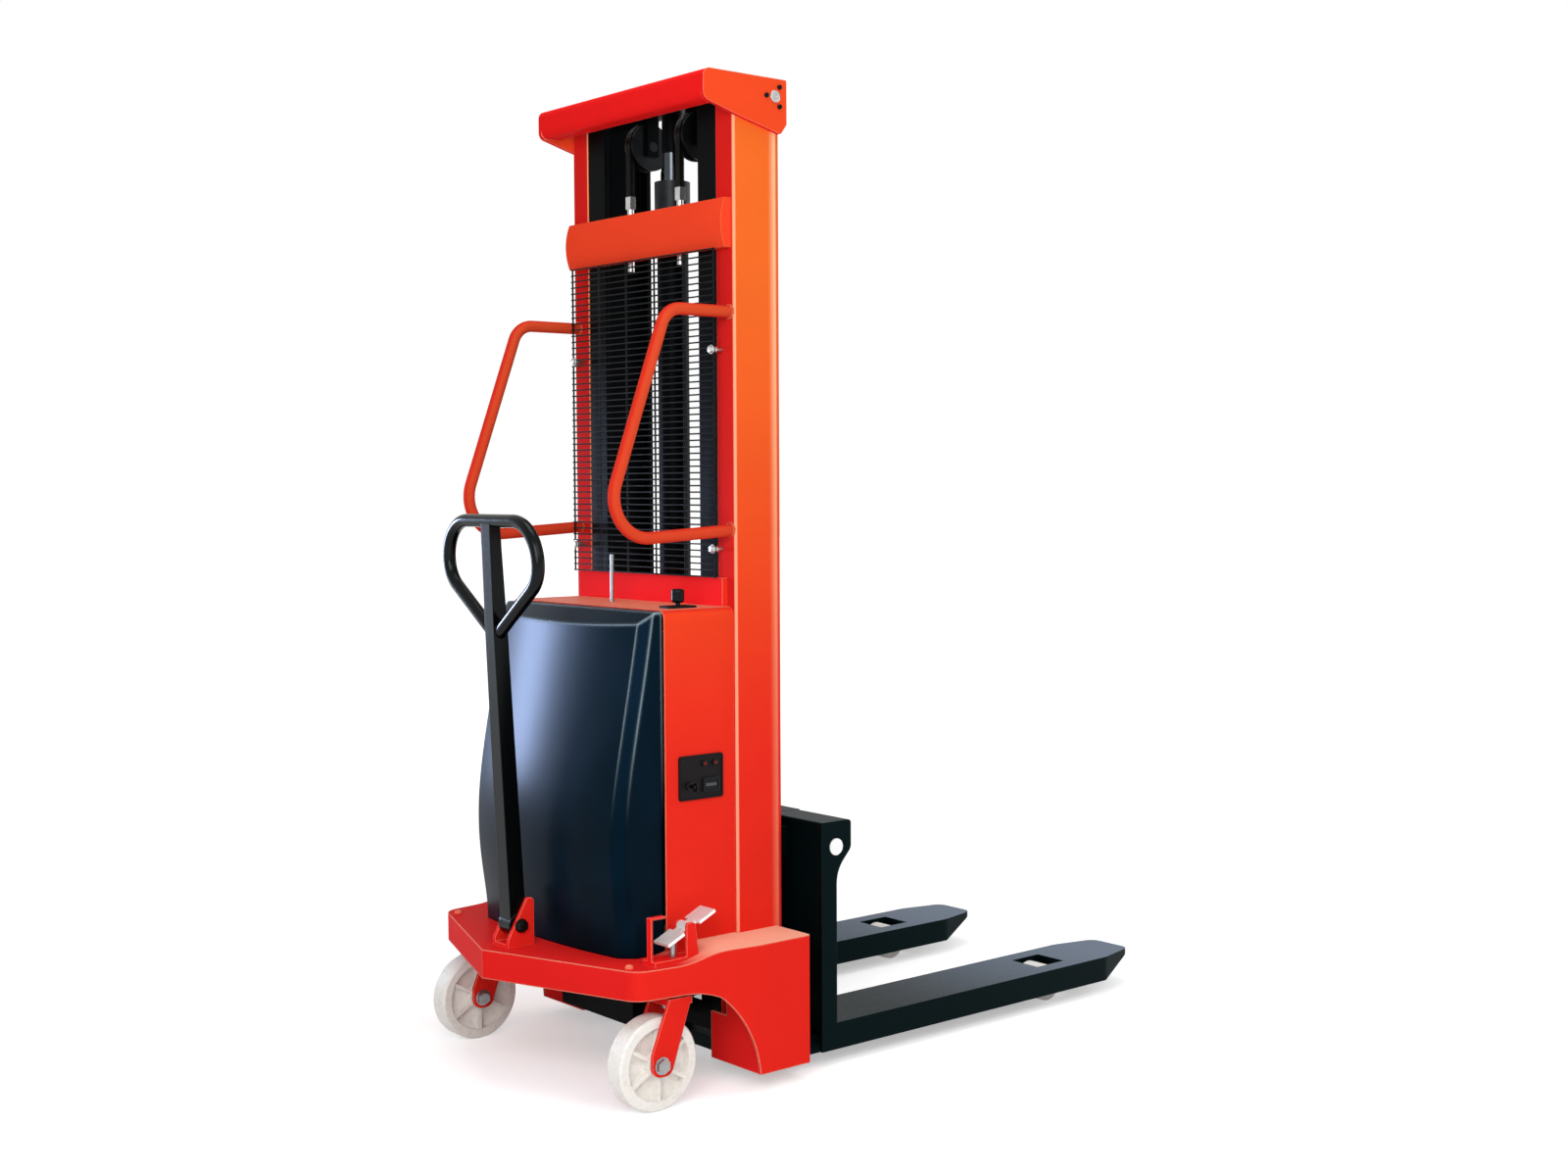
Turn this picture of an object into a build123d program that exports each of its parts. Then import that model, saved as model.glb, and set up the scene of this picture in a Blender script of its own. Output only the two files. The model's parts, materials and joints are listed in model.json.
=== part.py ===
# Semi-electric stacker: two-stage mast, hydraulic lift, forks over support legs, swivel casters.
# Millimetres. +Y points along the forks, +X to the truck's right, +Z up, floor at z = 0.
# Sizes along Y are measured from the rear face of the mast columns. The finished pieces are
# moved along Y so that the origin lies on the floor under the middle of the truck's length.

import os
from math import cos, radians, sin, sqrt, tan

from build123d import *

# Whole truck
overall_height = 1980
overall_width = 770
rear_nose_y = -420
fork_tip_y = 1150
origin_y = (fork_tip_y + rear_nose_y) / 2

# Clearances
running_fit = 0.05      # radial play of a wheel, sheave or pivot on its pin
roller_play = 0.5       # play of a mast roller in its channel, each side
slide_gap = 2           # side gap between nested mast sections
face_gap = 0.5          # gap between a moving face and a fixed one
bolt_play = 0.5         # radial play of a rod or tube in its hole

# Support legs and load rollers
load_roller_dia = 80
load_roller_width = 60
load_axle = 20
load_slot_side = 3
load_slot_length = 88
leg_width = 116
leg_reach = 951
leg_bottom = 25
leg_low = 36
base_top = 62
load_roller_y = leg_reach - 56

# Outer mast
mast_width = 556
column_depth = 125
column_flange = 56
column_web = 8
flange_thick = 10
column_front_round = 22
column_rear_round = 6
column_edge = 2
mast_half = mast_width / 2
mast_mid_y = column_depth / 2
column_inside = mast_half - column_flange
column_top = overall_height - 6
fork_x = mast_half - 18

# Head frame
head_plate = 10
head_rear = -80
head_beam_depth = 44
head_beam_height = 58
head_wall = 6
head_round = 16
head_edge = 4
head_sweep = 30
head_front = column_depth + 3
head_front_foot = overall_height - 107
head_side_foot = overall_height - 80
adjuster_y = head_front - 30
adjuster_z = overall_height - 35
adjuster_dia = 24
adjuster_screw = 8
adjuster_pitch = 44

# Mid-beam
mid_height = 96
mid_high = overall_height - 239
mid_low = mid_high - mid_height
mid_half = mast_half - 8
mid_bulge = 24
mid_lip = 14
mid_wall = 6

# Inner mast, nested between the outer columns
inner_flange = 58
inner_web = 8
inner_foot = base_top + 14
inner_top = overall_height - 6
inner_out = column_inside - slide_gap
inner_in = inner_out - inner_flange
inner_web_out = inner_out - (inner_flange - inner_web) / 2
inner_web_in = inner_web_out - inner_web
inner_rear = slide_gap
inner_front = column_depth - slide_gap
tie_height = 52

# Forks and carriage
fork_width = 160
fork_top = load_roller_dia + 6
fork_bottom = 31
fork_wall = 8
fork_roof = 10
fork_taper_y = fork_tip_y - 110
fork_taper_round = 60
fork_tip_half = 54
fork_tip_round = 26
fork_tip_low = fork_top - 8
fork_chamfer_y = fork_tip_y - 110
fork_slot_width = 80
shank_rear = column_depth + 43
shank_thick = 40
shank_low = fork_top - 12
shank_top = 500
hook_front = shank_rear + 79
hook_low = shank_top - 59
hook_foot = shank_top - 101
hook_sweep = 70
hook_round = 20
shaft_dia = 34
shaft_y = shank_rear + 37
shaft_z = shank_top - 52
shaft_proud = 3
carriage_plate_out = inner_in - 14
carriage_plate_thick = 14
carriage_plate_rear = 18
carriage_face_rear = column_depth + 3
carriage_face_thick = 12
carriage_low = fork_top + 10
carriage_high = shank_top - 9
carriage_half = fork_x - fork_width / 2 - 2
carriage_beam_half = fork_x - 28
carriage_beam = 60
carriage_beam_low = carriage_low + 28
carriage_beam_high = carriage_high - 70
chain_foot = carriage_high - 28

# Mast rollers
journal = 30
shoulder = 42
roller_wide = 26
roller_narrow = 20
outer_channel = column_depth - 2 * flange_thick
inner_channel = inner_front - inner_rear - 2 * flange_thick
outer_roller = outer_channel - 2 * roller_play
inner_roller = inner_channel - 2 * roller_play
foot_roller_z = inner_foot + 56
top_roller_z = overall_height - 132
carriage_roller_low = carriage_low + 58
carriage_roller_high = carriage_high - 60

# Lift cylinder, sheaves and chains
cylinder_y = 60
cylinder_od = 65
cylinder_bore = 46
cylinder_top = mid_high - 3
gland_od = 74
gland_height = 70
rod_dia = 36
rod_foot = 456
crosshead_height = 28
crosshead_depth = 40
crosshead_high = inner_top
crosshead_low = crosshead_high - crosshead_height
crosshead_boss = 42
sheave_x = 86
sheave_z = crosshead_low - 56
boss_low = sheave_z - 22
chain_radius = 45
chain_width = 16
chain_thick = 14
chain_seat = 0.3
sheave_flange = 5
sheave_rim = 4
sheave_axle = 20
lug_thick = 8
sheave_lug_half = 14
anchor_rod = 14
anchor_nut = 24
anchor_nut_height = 12
anchor_plate_low = mid_low + 19
anchor_plate_thick = 20
anchor_eye = 26
anchor_eye_top = mid_high + 43
chain_rear_y = cylinder_y - chain_radius
chain_front_y = cylinder_y + chain_radius
sheave_width = chain_width + 2 * (face_gap + sheave_flange)

# Casters
corner_x = overall_width / 2 - 35
caster_x = corner_x - 28
caster_y = -195
caster_trail = 50
wheel_dia = 180
wheel_width = 46
wheel_hub = 48
wheel_web = 16
wheel_rim = 20
wheel_spokes = 6
caster_axle = 16
axle_nut_height = 9
yoke_gap = 3
yoke_plate = 6
yoke_crown_thick = 14
yoke_crown_low = wheel_dia + 18
yoke_crown_high = yoke_crown_low + yoke_crown_thick
yoke_crown_dia = 62
yoke_eye = 22
race_dia = 50
kingpin = 30
kingpin_bore = 13
kingpin_foot = wheel_dia + 8
kingpin_head = 46
caster_plate_z = yoke_crown_high + 16
caster_plate_thick = 8
caster_plate_width = 54
caster_plate_length = 100

# Chassis
deck_top = caster_plate_z + 47
deck_thick = 8
skirt_low = caster_plate_z - 10
skirt_thick = 6
corner_y = rear_nose_y + 123
corner_round = 45
leg_x = overall_width / 2
leg_round = 80
leg_rear = -30
leg_front = 100
leg_front_round = 8
leg_top = deck_top + 17
rise_start = -215
rise_end = -95
arch_start_y = -195
arch_crown = skirt_low - 18
arch_crown_y = -115
arch_shoulder = skirt_low - 80
arch_shoulder_y = -62
leg_plate = 6
leg_inset = 50
leg_inset_height = 95

# Foot brake
plunger_dia = 12
plunger_gap = 1.5
plunger_head = 18
plunger_head_height = 5
pedal_pivot_y = caster_y + 30
pedal_pivot_z = deck_top + 63
pedal_tilt = 25
pedal_reach = 62
pedal_pad = 42
pedal_pad_width = 46
pedal_bar_width = 22
pedal_thick = 6
pedal_pin = 10
pedal_hub = 20
pedal_hub_width = 26
pedal_cheek = 6
pedal_base = 9
pedal_clear = 29        # from the pedal's pad to the side of the housing
strap_y = caster_y - 55
strap_top = deck_top + 91
strap_width = 14
strap_thick = 4
strap_reach = 34

# Power pack
housing_half = caster_x - pedal_pad_width / 2 - pedal_clear
housing_rear = -170
housing_top = 942
housing_wall = 3
housing_round = 18
cover_half = housing_half - 8
cover_top = housing_top - 4
cover_wall = 4
cover_stations = (      # share of the height, rearmost y, bulge of the back, corner chamfer
    (0.00, -282, 20, 26),
    (0.19, -288, 14, 23),
    (0.43, -287, 12, 21),
    (0.57, -273, 12, 20),
    (0.73, -252, 11, 20),
    (0.87, -234, 10, 20),
    (1.00, -218, 8, 20),
)
cover_brow = housing_rear - 16      # where the cover's top starts to slope down
cover_brow_fall = 0.83
cover_brow_reach = 160
panel_width = 108
panel_height = 87
panel_thick = 4
panel_rear = housing_rear + 31
panel_low = housing_top - 373
panel_front = panel_rear + panel_width
panel_high = panel_low + panel_height
key_y = panel_rear + 27
key_z = panel_low + 27
key_dia = 18
key_proud = 6
key_bow = 16
gauge_y = panel_rear + 77
gauge_z = key_z
gauge_width = 40
gauge_height = 28
lamp_y = (panel_rear + 61, panel_rear + 87)
lamp_z = panel_high - 18
lamp_dia = 9
lower_beam_low = housing_top - 62
lower_beam_high = housing_top + 56
lower_beam_thick = 12
lower_beam_half = housing_half - housing_round - 2
tray_half = 127
tray_rear = -150
tray_front = -12
tray_low = deck_top - 177
tray_wall = 3
battery_gap = 2
battery_height = 210
lever_x = housing_half - 44
lever_y = -104
lever_z = housing_top - 28
lever_rod = 10
lever_top = housing_top + 37
lever_knob = 26
lever_knob_height = 27
lever_swing = 15
lever_ear = 7
valve_half = 30
valve_low = housing_top - 142
valve_top = housing_top - 46
valve_foot = 40
pump_x = 82 - housing_half
pump_y = -82
pump_dia = 110
pump_height = 190
tank_x0 = -100
tank_x1 = lever_x - valve_half - 46
tank_y0 = -150
tank_strap = 10
tank_top = valve_low
tank_low = tank_top - 240
breather_x = -14
breather_y = -92
breather_dia = 8
breather_top = housing_top + 98
pipe_dia = 12
pipe_z = (base_top + inner_foot) / 2
pipe_bend = 30
pipe_drop_y = -13
pipe_outlet_z = deck_top + 125

# Mesh guard
guard_rows = 50
guard_columns = 5
guard_wire = 4
guard_thick = 4
guard_low = lower_beam_high
guard_high = mid_low
guard_half = mast_half - 30
guard_stand = 23        # from the columns' rear faces to the guard
guard_bolt = 8
guard_bolt_head = 14
guard_bolt_proud = 6
guard_bolt_x = guard_half - 8
guard_bolt_z = (guard_low + 57, guard_high - 198)

# Grab handles
handle_x = mast_half - 16
handle_dia = 24
handle_high = guard_high - 125
handle_low = guard_low + 95
handle_elbow_y = -153
handle_reach_y = -314
handle_reach_z = handle_low - 19
handle_bend_high = 47
handle_bend_low = 78

# Tiller
tiller_y = rear_nose_y + 73
tiller_z = deck_top + 41
tiller_pin = 20
tiller_eye = 44
tiller_eye_width = 40
tiller_base_width = 38
tiller_base_depth = 36
tiller_neck = 32
tiller_neck_z = tiller_z + 570
tiller_lean = 3.0
grip_tube = 26
grip_half = 163
grip_low_z = tiller_neck_z + 2
grip_side_low = tiller_neck_z + 117
grip_top = tiller_neck_z + 229
grip_bend_low = 62
grip_bend_high = 78
tiller_lug_gap = 20
tiller_lug = 8
tiller_lug_top = deck_top + 94
tiller_lug_front = tiller_y + 30
tiller_lug_rear = tiller_y - 30
tiller_lug_heel = deck_top + 14
tiller_base = 6
tiller_pin_head = 5


def block(x0, x1, y0, y1, z0, z1):
    centre = Pos((x0 + x1) / 2, (y0 + y1) / 2, (z0 + z1) / 2)
    return centre * Box(x1 - x0, y1 - y0, z1 - z0)


def rod_x(x0, x1, y, z, dia):
    return Pos((x0 + x1) / 2, y, z) * Rot(0, 90, 0) * Cylinder(dia / 2, abs(x1 - x0))


def rod_y(x, y0, y1, z, dia):
    return Pos(x, (y0 + y1) / 2, z) * Rot(90, 0, 0) * Cylinder(dia / 2, abs(y1 - y0))


def rod_z(x, y, z0, z1, dia):
    return Pos(x, y, (z0 + z1) / 2) * Cylinder(dia / 2, z1 - z0)


def slab_x(outline, x0, x1):
    # A flat outline in Y and Z, drawn out along X.
    return extrude(Plane.YZ.offset(x0) * make_face(outline), x1 - x0)


def slab_z(outline, z0, z1):
    # A flat outline in X and Y, drawn up along Z.
    return extrude(Pos(0, 0, z0) * make_face(outline), z1 - z0)


def rounded(points, radii):
    return FilletPolyline(*points, radius=radii, close=True)


def tube(points, radii, dia):
    path = FilletPolyline(*points, radius=radii)
    section = Plane(origin=path @ 0, z_dir=path % 0) * Circle(dia / 2)
    return sweep(section, path=path)


def other_side(shape):
    return mirror(shape, about=Plane.YZ)


def both_sides(shape):
    return Compound(children=[shape, other_side(shape)])


def group(*shapes):
    return Compound(children=list(shapes))


def outer_column():
    # Channel with its web outside and its flanges pointing at the other column. The axle of
    # the top roller is welded to the inside of the web.
    web_in = mast_half - column_web
    front_in = column_depth - flange_thick
    section = rounded(
        [
            (column_inside, 0),
            (mast_half, 0),
            (mast_half, column_depth),
            (column_inside, column_depth),
            (column_inside, front_in),
            (web_in, front_in),
            (web_in, flange_thick),
            (column_inside, flange_thick),
        ],
        [
            column_edge,
            column_rear_round,
            column_front_round,
            column_edge,
            column_edge,
            column_front_round / 2,
            column_edge,
            column_edge,
        ],
    )
    channel = slab_z(section, base_top, column_top)
    seat = inner_out - face_gap
    stub = rod_x(seat, mast_half - column_web, mast_mid_y, top_roller_z, shoulder)
    pin_end = seat - roller_narrow - 2 * face_gap
    pin = rod_x(pin_end, seat, mast_mid_y, top_roller_z, journal)
    return channel + stub + pin


def head_frame():
    points = [
        (head_rear, overall_height),
        (head_front, overall_height),
        (head_front, head_front_foot + 20),
        (head_front - 15, head_front_foot),
        (0, head_side_foot),
        (head_rear, overall_height - head_beam_height),
    ]
    radii = [head_round, head_edge, head_edge, head_edge, head_sweep, head_round]
    side = slab_x(rounded(points, radii), mast_half, mast_half + head_plate)
    beam_front = head_rear + head_beam_depth
    beam_low = overall_height - head_beam_height
    beam_points = [
        (head_rear, beam_low),
        (beam_front, beam_low),
        (beam_front, overall_height),
        (head_rear, overall_height),
    ]
    beam_radii = [head_round, 0, 0, head_round]
    beam = slab_x(rounded(beam_points, beam_radii), -mast_half, mast_half)
    hollow = block(
        -mast_half, mast_half,
        head_rear + head_wall, beam_front,
        beam_low + head_wall, overall_height - head_wall,
    )
    hole = rod_x(mast_half - 1, mast_half + head_plate + 1, adjuster_y, adjuster_z, adjuster_dia)
    side -= hole
    return beam - hollow + side + other_side(side)


def thrust_adjuster():
    # Round pad behind the head plate that limits the inner mast's side play, and its screws.
    face = mast_half + head_plate
    disc = rod_x(mast_half, face + 3, adjuster_y, adjuster_z, adjuster_dia)
    screws = []
    for angle in (60, 180, 300):
        y = adjuster_y + adjuster_pitch / 2 * cos(radians(angle))
        z = adjuster_z + adjuster_pitch / 2 * sin(radians(angle))
        screws.append(rod_x(face, face + 4, y, z, adjuster_screw))
    return [disc] + screws


def mid_outline(inset):
    low = mid_low + inset
    high = mid_high - inset
    middle = (mid_low + mid_high) / 2
    lip_y = -slide_gap - mid_lip
    bottom = Line((-slide_gap, low), (lip_y, low))
    bulge = ThreePointArc((lip_y, low), (-slide_gap - mid_bulge + inset, middle), (lip_y, high))
    top = Line((lip_y, high), (-slide_gap, high))
    front = Line((-slide_gap, high), (-slide_gap, low))
    return bottom + bulge + top + front


def mid_beam():
    # Bulged channel across the backs of the columns, with two plates for the chain anchors.
    beam = slab_x(mid_outline(0), -mid_half, mid_half)
    beam -= slab_x(mid_outline(mid_wall), -mid_half + mid_wall, mid_half - mid_wall)
    seats = []
    for x in (-mid_half, mid_half - column_flange):
        seats.append(block(x, x + column_flange, -slide_gap, 0, mid_low, mid_high))
    beam = beam + seats[0] + seats[1]
    plate_rear = -slide_gap - mid_bulge + mid_wall - 1
    for x in (-sheave_x, sheave_x):
        plate = block(
            x - anchor_nut, x + anchor_nut,
            plate_rear, chain_rear_y + anchor_nut,
            anchor_plate_low, anchor_plate_low + anchor_plate_thick,
        )
        beam += plate
        beam -= rod_z(x, chain_rear_y, anchor_plate_low - 1,
                      anchor_plate_low + anchor_plate_thick + 1, anchor_rod + 2 * bolt_play)
    return beam


def chain_anchor():
    # Threaded rod with an eye for the chain, held in the anchor plate by two nuts.
    plate_top = anchor_plate_low + anchor_plate_thick
    rod = rod_z(sheave_x, chain_rear_y, anchor_plate_low - 3 * anchor_nut_height,
                anchor_eye_top - anchor_eye, anchor_rod)
    lower = rod_z(sheave_x, chain_rear_y, anchor_plate_low - anchor_nut_height,
                  anchor_plate_low, anchor_nut)
    upper = rod_z(sheave_x, chain_rear_y, plate_top, plate_top + anchor_nut_height, anchor_nut)
    eye = block(
        sheave_x - chain_width / 2, sheave_x + chain_width / 2,
        chain_rear_y - chain_thick / 2, chain_rear_y + chain_thick / 2,
        anchor_eye_top - anchor_eye, anchor_eye_top,
    )
    return rod + lower + upper + eye


def chain_run(y, low, high):
    return block(
        sheave_x - chain_width / 2, sheave_x + chain_width / 2,
        y - chain_thick / 2, y + chain_thick / 2, low, high,
    )


def chain_wrap():
    ring = rod_x(sheave_x - chain_width / 2, sheave_x + chain_width / 2, cylinder_y, sheave_z,
                 2 * chain_radius + chain_thick)
    ring -= rod_x(sheave_x - chain_width, sheave_x + chain_width, cylinder_y, sheave_z,
                  2 * chain_radius - chain_thick)
    reach = chain_radius + chain_thick
    lower_half = block(
        sheave_x - chain_width, sheave_x + chain_width,
        cylinder_y - reach, cylinder_y + reach, sheave_z - reach, sheave_z,
    )
    return ring - lower_half


def sheave():
    groove = 2 * (chain_radius - chain_thick / 2 - chain_seat)
    rim = 2 * (chain_radius + sheave_rim)
    x0 = sheave_x - sheave_width / 2
    x1 = sheave_x + sheave_width / 2
    body = rod_x(x0, x1, cylinder_y, sheave_z, groove)
    body += rod_x(x0, x0 + sheave_flange, cylinder_y, sheave_z, rim)
    body += rod_x(x1 - sheave_flange, x1, cylinder_y, sheave_z, rim)
    return body - rod_x(x0 - 1, x1 + 1, cylinder_y, sheave_z, sheave_axle + 2 * running_fit)


def crosshead():
    # Bar between the inner columns that the piston rod lifts by its boss, with lugs for the
    # sheave axles.
    y0 = cylinder_y - crosshead_depth / 2
    y1 = cylinder_y + crosshead_depth / 2
    bar = block(-inner_web_in, inner_web_in, y0, y1, crosshead_low, crosshead_high)
    bar += rod_z(0, cylinder_y, boss_low, crosshead_low, crosshead_boss)
    offset = sheave_width / 2 + face_gap
    for x in (-sheave_x, sheave_x):
        for side in (-1, 1):
            near = x + side * offset
            far = near + side * lug_thick
            lug = block(min(near, far), max(near, far), cylinder_y - sheave_lug_half,
                        cylinder_y + sheave_lug_half, sheave_z - sheave_axle, crosshead_low)
            bar += lug - rod_x(min(near, far) - 1, max(near, far) + 1, cylinder_y, sheave_z,
                               sheave_axle)
    return bar


def sheave_axle_pin():
    reach = sheave_width / 2 + face_gap + lug_thick
    return rod_x(sheave_x - reach, sheave_x + reach, cylinder_y, sheave_z, sheave_axle)


def inner_column():
    # H section: the outer channel takes the top roller, the inner one the carriage rollers.
    web = block(inner_web_in, inner_web_out, inner_rear, inner_front, inner_foot, inner_top)
    rear = block(inner_in, inner_out, inner_rear, inner_rear + flange_thick, inner_foot, inner_top)
    front = block(inner_in, inner_out, inner_front - flange_thick, inner_front,
                  inner_foot, inner_top)
    seat = column_inside + 6
    stub = rod_x(inner_web_out, seat, mast_mid_y, foot_roller_z, shoulder)
    pin = rod_x(seat, seat + roller_wide + 2 * face_gap, mast_mid_y, foot_roller_z, journal)
    return web + rear + front + stub + pin


def lower_tie():
    return block(-inner_in, inner_in, inner_rear, inner_rear + flange_thick,
                 inner_foot, inner_foot + tie_height)


def mast_roller(x0, width, z, dia):
    body = rod_x(x0, x0 + width, mast_mid_y, z, dia)
    return body - rod_x(x0 - 1, x0 + width + 1, mast_mid_y, z, journal + 2 * running_fit)


def lift_cylinder():
    foot_cap = cylinder_od - cylinder_bore
    barrel = rod_z(0, cylinder_y, base_top, cylinder_top, cylinder_od)
    return barrel - rod_z(0, cylinder_y, base_top + foot_cap, cylinder_top + 1, cylinder_bore)


def cylinder_gland():
    ring = rod_z(0, cylinder_y, cylinder_top, cylinder_top + gland_height, gland_od)
    return ring - rod_z(0, cylinder_y, cylinder_top - 1, cylinder_top + gland_height + 1,
                        rod_dia + 2 * running_fit)


def piston_rod():
    return rod_z(0, cylinder_y, rod_foot, boss_low, rod_dia)


def mesh_guard():
    # Flat wire grid that stands off the backs of the columns on four bolts.
    height = guard_high - guard_low
    width = 2 * guard_half
    gap_h = (height - guard_wire) / guard_rows - guard_wire
    gap_w = (width - guard_wire) / guard_columns - guard_wire
    grid = Rectangle(width, height) - GridLocations(
        gap_w + guard_wire, gap_h + guard_wire, guard_columns, guard_rows
    ) * Rectangle(gap_w, gap_h)
    middle = (guard_low + guard_high) / 2
    face = Plane(origin=(0, -guard_stand, middle), x_dir=(1, 0, 0), z_dir=(0, -1, 0)) * grid
    guard = extrude(face, guard_thick)
    for x in (-guard_bolt_x, guard_bolt_x):
        for z in guard_bolt_z:
            guard -= rod_y(x, -guard_stand - 2 * guard_thick, 0, z, guard_bolt)
    return guard


def guard_bolts():
    # Each bolt is fixed in the column and clamps the guard between a collar and its head.
    back = -guard_stand - guard_thick
    bolts = []
    for x in (-guard_bolt_x, guard_bolt_x):
        for z in guard_bolt_z:
            bolt = rod_y(x, back, 0, z, guard_bolt)
            bolt += rod_y(x, -guard_stand, guard_bolt_proud - guard_stand, z, guard_bolt_head)
            bolts.append(bolt + rod_y(x, back - guard_bolt_proud, back, z, guard_bolt_head))
    return group(*bolts)


def lower_beam():
    return block(-lower_beam_half, lower_beam_half, -lower_beam_thick, 0,
                 lower_beam_low, lower_beam_high)


def plan_outline(inset):
    front = leg_front - inset
    flare = [
        (0, rear_nose_y + inset),
        (corner_x - inset, corner_y + inset),
        (leg_x - inset, leg_rear),
        (leg_x - inset, front),
    ]
    left = [(-x, y) for x, y in reversed(flare[1:])]
    front_round = max(leg_front_round - inset, 2)
    radii = [0, corner_round, leg_round, front_round, front_round, leg_round, corner_round]
    return rounded(flare + left, radii)


def side_outline(drop, foot):
    # Side view of the chassis: flat deck, a rise up to the leg box, an arch behind the leg.
    top = deck_top - drop
    high = leg_top - drop
    middle_y = (rise_start + rise_end) / 2
    rear = rear_nose_y - 10
    front = leg_front + 10
    deck = Line((rear, top), (rise_start, top))
    middle = (middle_y, (top + high) / 2)
    rise = TangentArc((rise_start, top), middle, tangent=(1, 0))
    rise += TangentArc((rise_end, high), middle, tangent=(-1, 0))
    over = Line((rise_end, high), (front, high))
    if foot:
        edge = Line((front, high), (front, leg_low)) + Line((front, leg_low), (leg_rear, leg_low))
        crown = (arch_crown_y, arch_crown)
        arch = ThreePointArc((leg_rear, leg_low), (arch_shoulder_y, arch_shoulder), crown)
        arch += TangentArc((arch_start_y, skirt_low), crown, tangent=(1, 0))
        skirt = Line((arch_start_y, skirt_low), (rear, skirt_low))
        return deck + rise + over + edge + arch + skirt + Line((rear, skirt_low), (rear, top))
    edge = Line((front, high), (front, 0)) + Line((front, 0), (rear, 0))
    return deck + rise + over + edge + Line((rear, 0), (rear, top))


def on_deck(shape):
    # Trims the foot of a piece to the deck that it stands on.
    return shape - slab_x(side_outline(0, False), -leg_x, leg_x)


def chassis():
    # Formed deck with a skirt all round that runs out into the two leg boxes.
    outer = slab_z(plan_outline(0), leg_low, leg_top + 1)
    outer = outer & slab_x(side_outline(0, True), -leg_x - 1, leg_x + 1)
    inner = slab_z(plan_outline(skirt_thick), leg_low - 1, leg_top + 1)
    inner = inner & slab_x(side_outline(deck_thick, False), -leg_x - 1, leg_x + 1)
    body = outer - inner
    bay = mast_half
    body -= block(-bay, bay, 0, leg_front + 1, leg_low - 1, leg_top + 1)
    for side in (-1, 1):
        x0, x1 = sorted((side * bay, side * (bay + leg_plate)))
        roof = leg_top - deck_thick / 2
        body += block(x0, x1, leg_rear, leg_front, leg_low, roof)
        x0, x1 = sorted((side * bay, side * (leg_x - skirt_thick / 2)))
        body += block(x0, x1, leg_rear, leg_rear + leg_plate, leg_low, roof)
        x0, x1 = sorted((side * (bay - leg_inset), side * (bay + leg_plate)))
        body += block(x0, x1, leg_rear, leg_rear + leg_plate, leg_low, leg_low + leg_inset_height)
        pad_x0 = side * caster_x - caster_plate_width / 2
        pad_y0 = caster_y - caster_plate_length / 2
        body += block(pad_x0, pad_x0 + caster_plate_width, pad_y0, pad_y0 + caster_plate_length,
                      caster_plate_z + caster_plate_thick, deck_top - deck_thick / 2)
    bay_x = tray_half - tray_wall
    body -= block(-bay_x, bay_x, tray_rear + tray_wall, tray_front - tray_wall,
                  deck_top - 2 * deck_thick, leg_top + 1)
    body -= rod_z(caster_x, caster_y, skirt_low, leg_top + 1, plunger_dia + 2 * bolt_play)
    body -= rod_z(pump_x, pipe_drop_y, deck_top - 2 * deck_thick, leg_top + 1,
                  pipe_dia + 2 * bolt_play)
    return body


def base_frame():
    # Cross-member below the mast with the two support legs welded to it.
    base = block(-mast_half, mast_half, 0, leg_front, leg_low, base_top)
    slot_half = load_roller_width / 2 + load_slot_side
    slot_rear = load_roller_y - load_roller_dia / 2 - load_slot_side
    for x in (-fork_x, fork_x):
        leg = block(x - leg_width / 2, x + leg_width / 2, leg_front, leg_reach,
                    leg_bottom, base_top)
        leg -= block(x - slot_half, x + slot_half, slot_rear, leg_reach + 1,
                     leg_bottom - 1, base_top + 1)
        leg -= rod_x(x - leg_width, x + leg_width, load_roller_y, load_roller_dia / 2, load_axle)
        base += leg
    return base


def load_axle_pin():
    return rod_x(fork_x - leg_width / 2, fork_x + leg_width / 2, load_roller_y,
                 load_roller_dia / 2, load_axle)


def load_roller():
    half = load_roller_width / 2
    z = load_roller_dia / 2
    body = rod_x(fork_x - half, fork_x + half, load_roller_y, z, load_roller_dia)
    return body - rod_x(fork_x - half - 1, fork_x + half + 1, load_roller_y, z,
                        load_axle + 2 * running_fit)


def blade_outline(inset):
    half = fork_width / 2 - inset
    tip = fork_tip_y - inset
    tip_half = fork_tip_half - inset
    tip_round = max(fork_tip_round - inset, 1)
    points = [
        (fork_x - half, shank_rear),
        (fork_x + half, shank_rear),
        (fork_x + half, fork_taper_y),
        (fork_x + tip_half, tip),
        (fork_x - tip_half, tip),
        (fork_x - half, fork_taper_y),
    ]
    return rounded(points, [0, 0, fork_taper_round, tip_round, tip_round, fork_taper_round])


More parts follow.
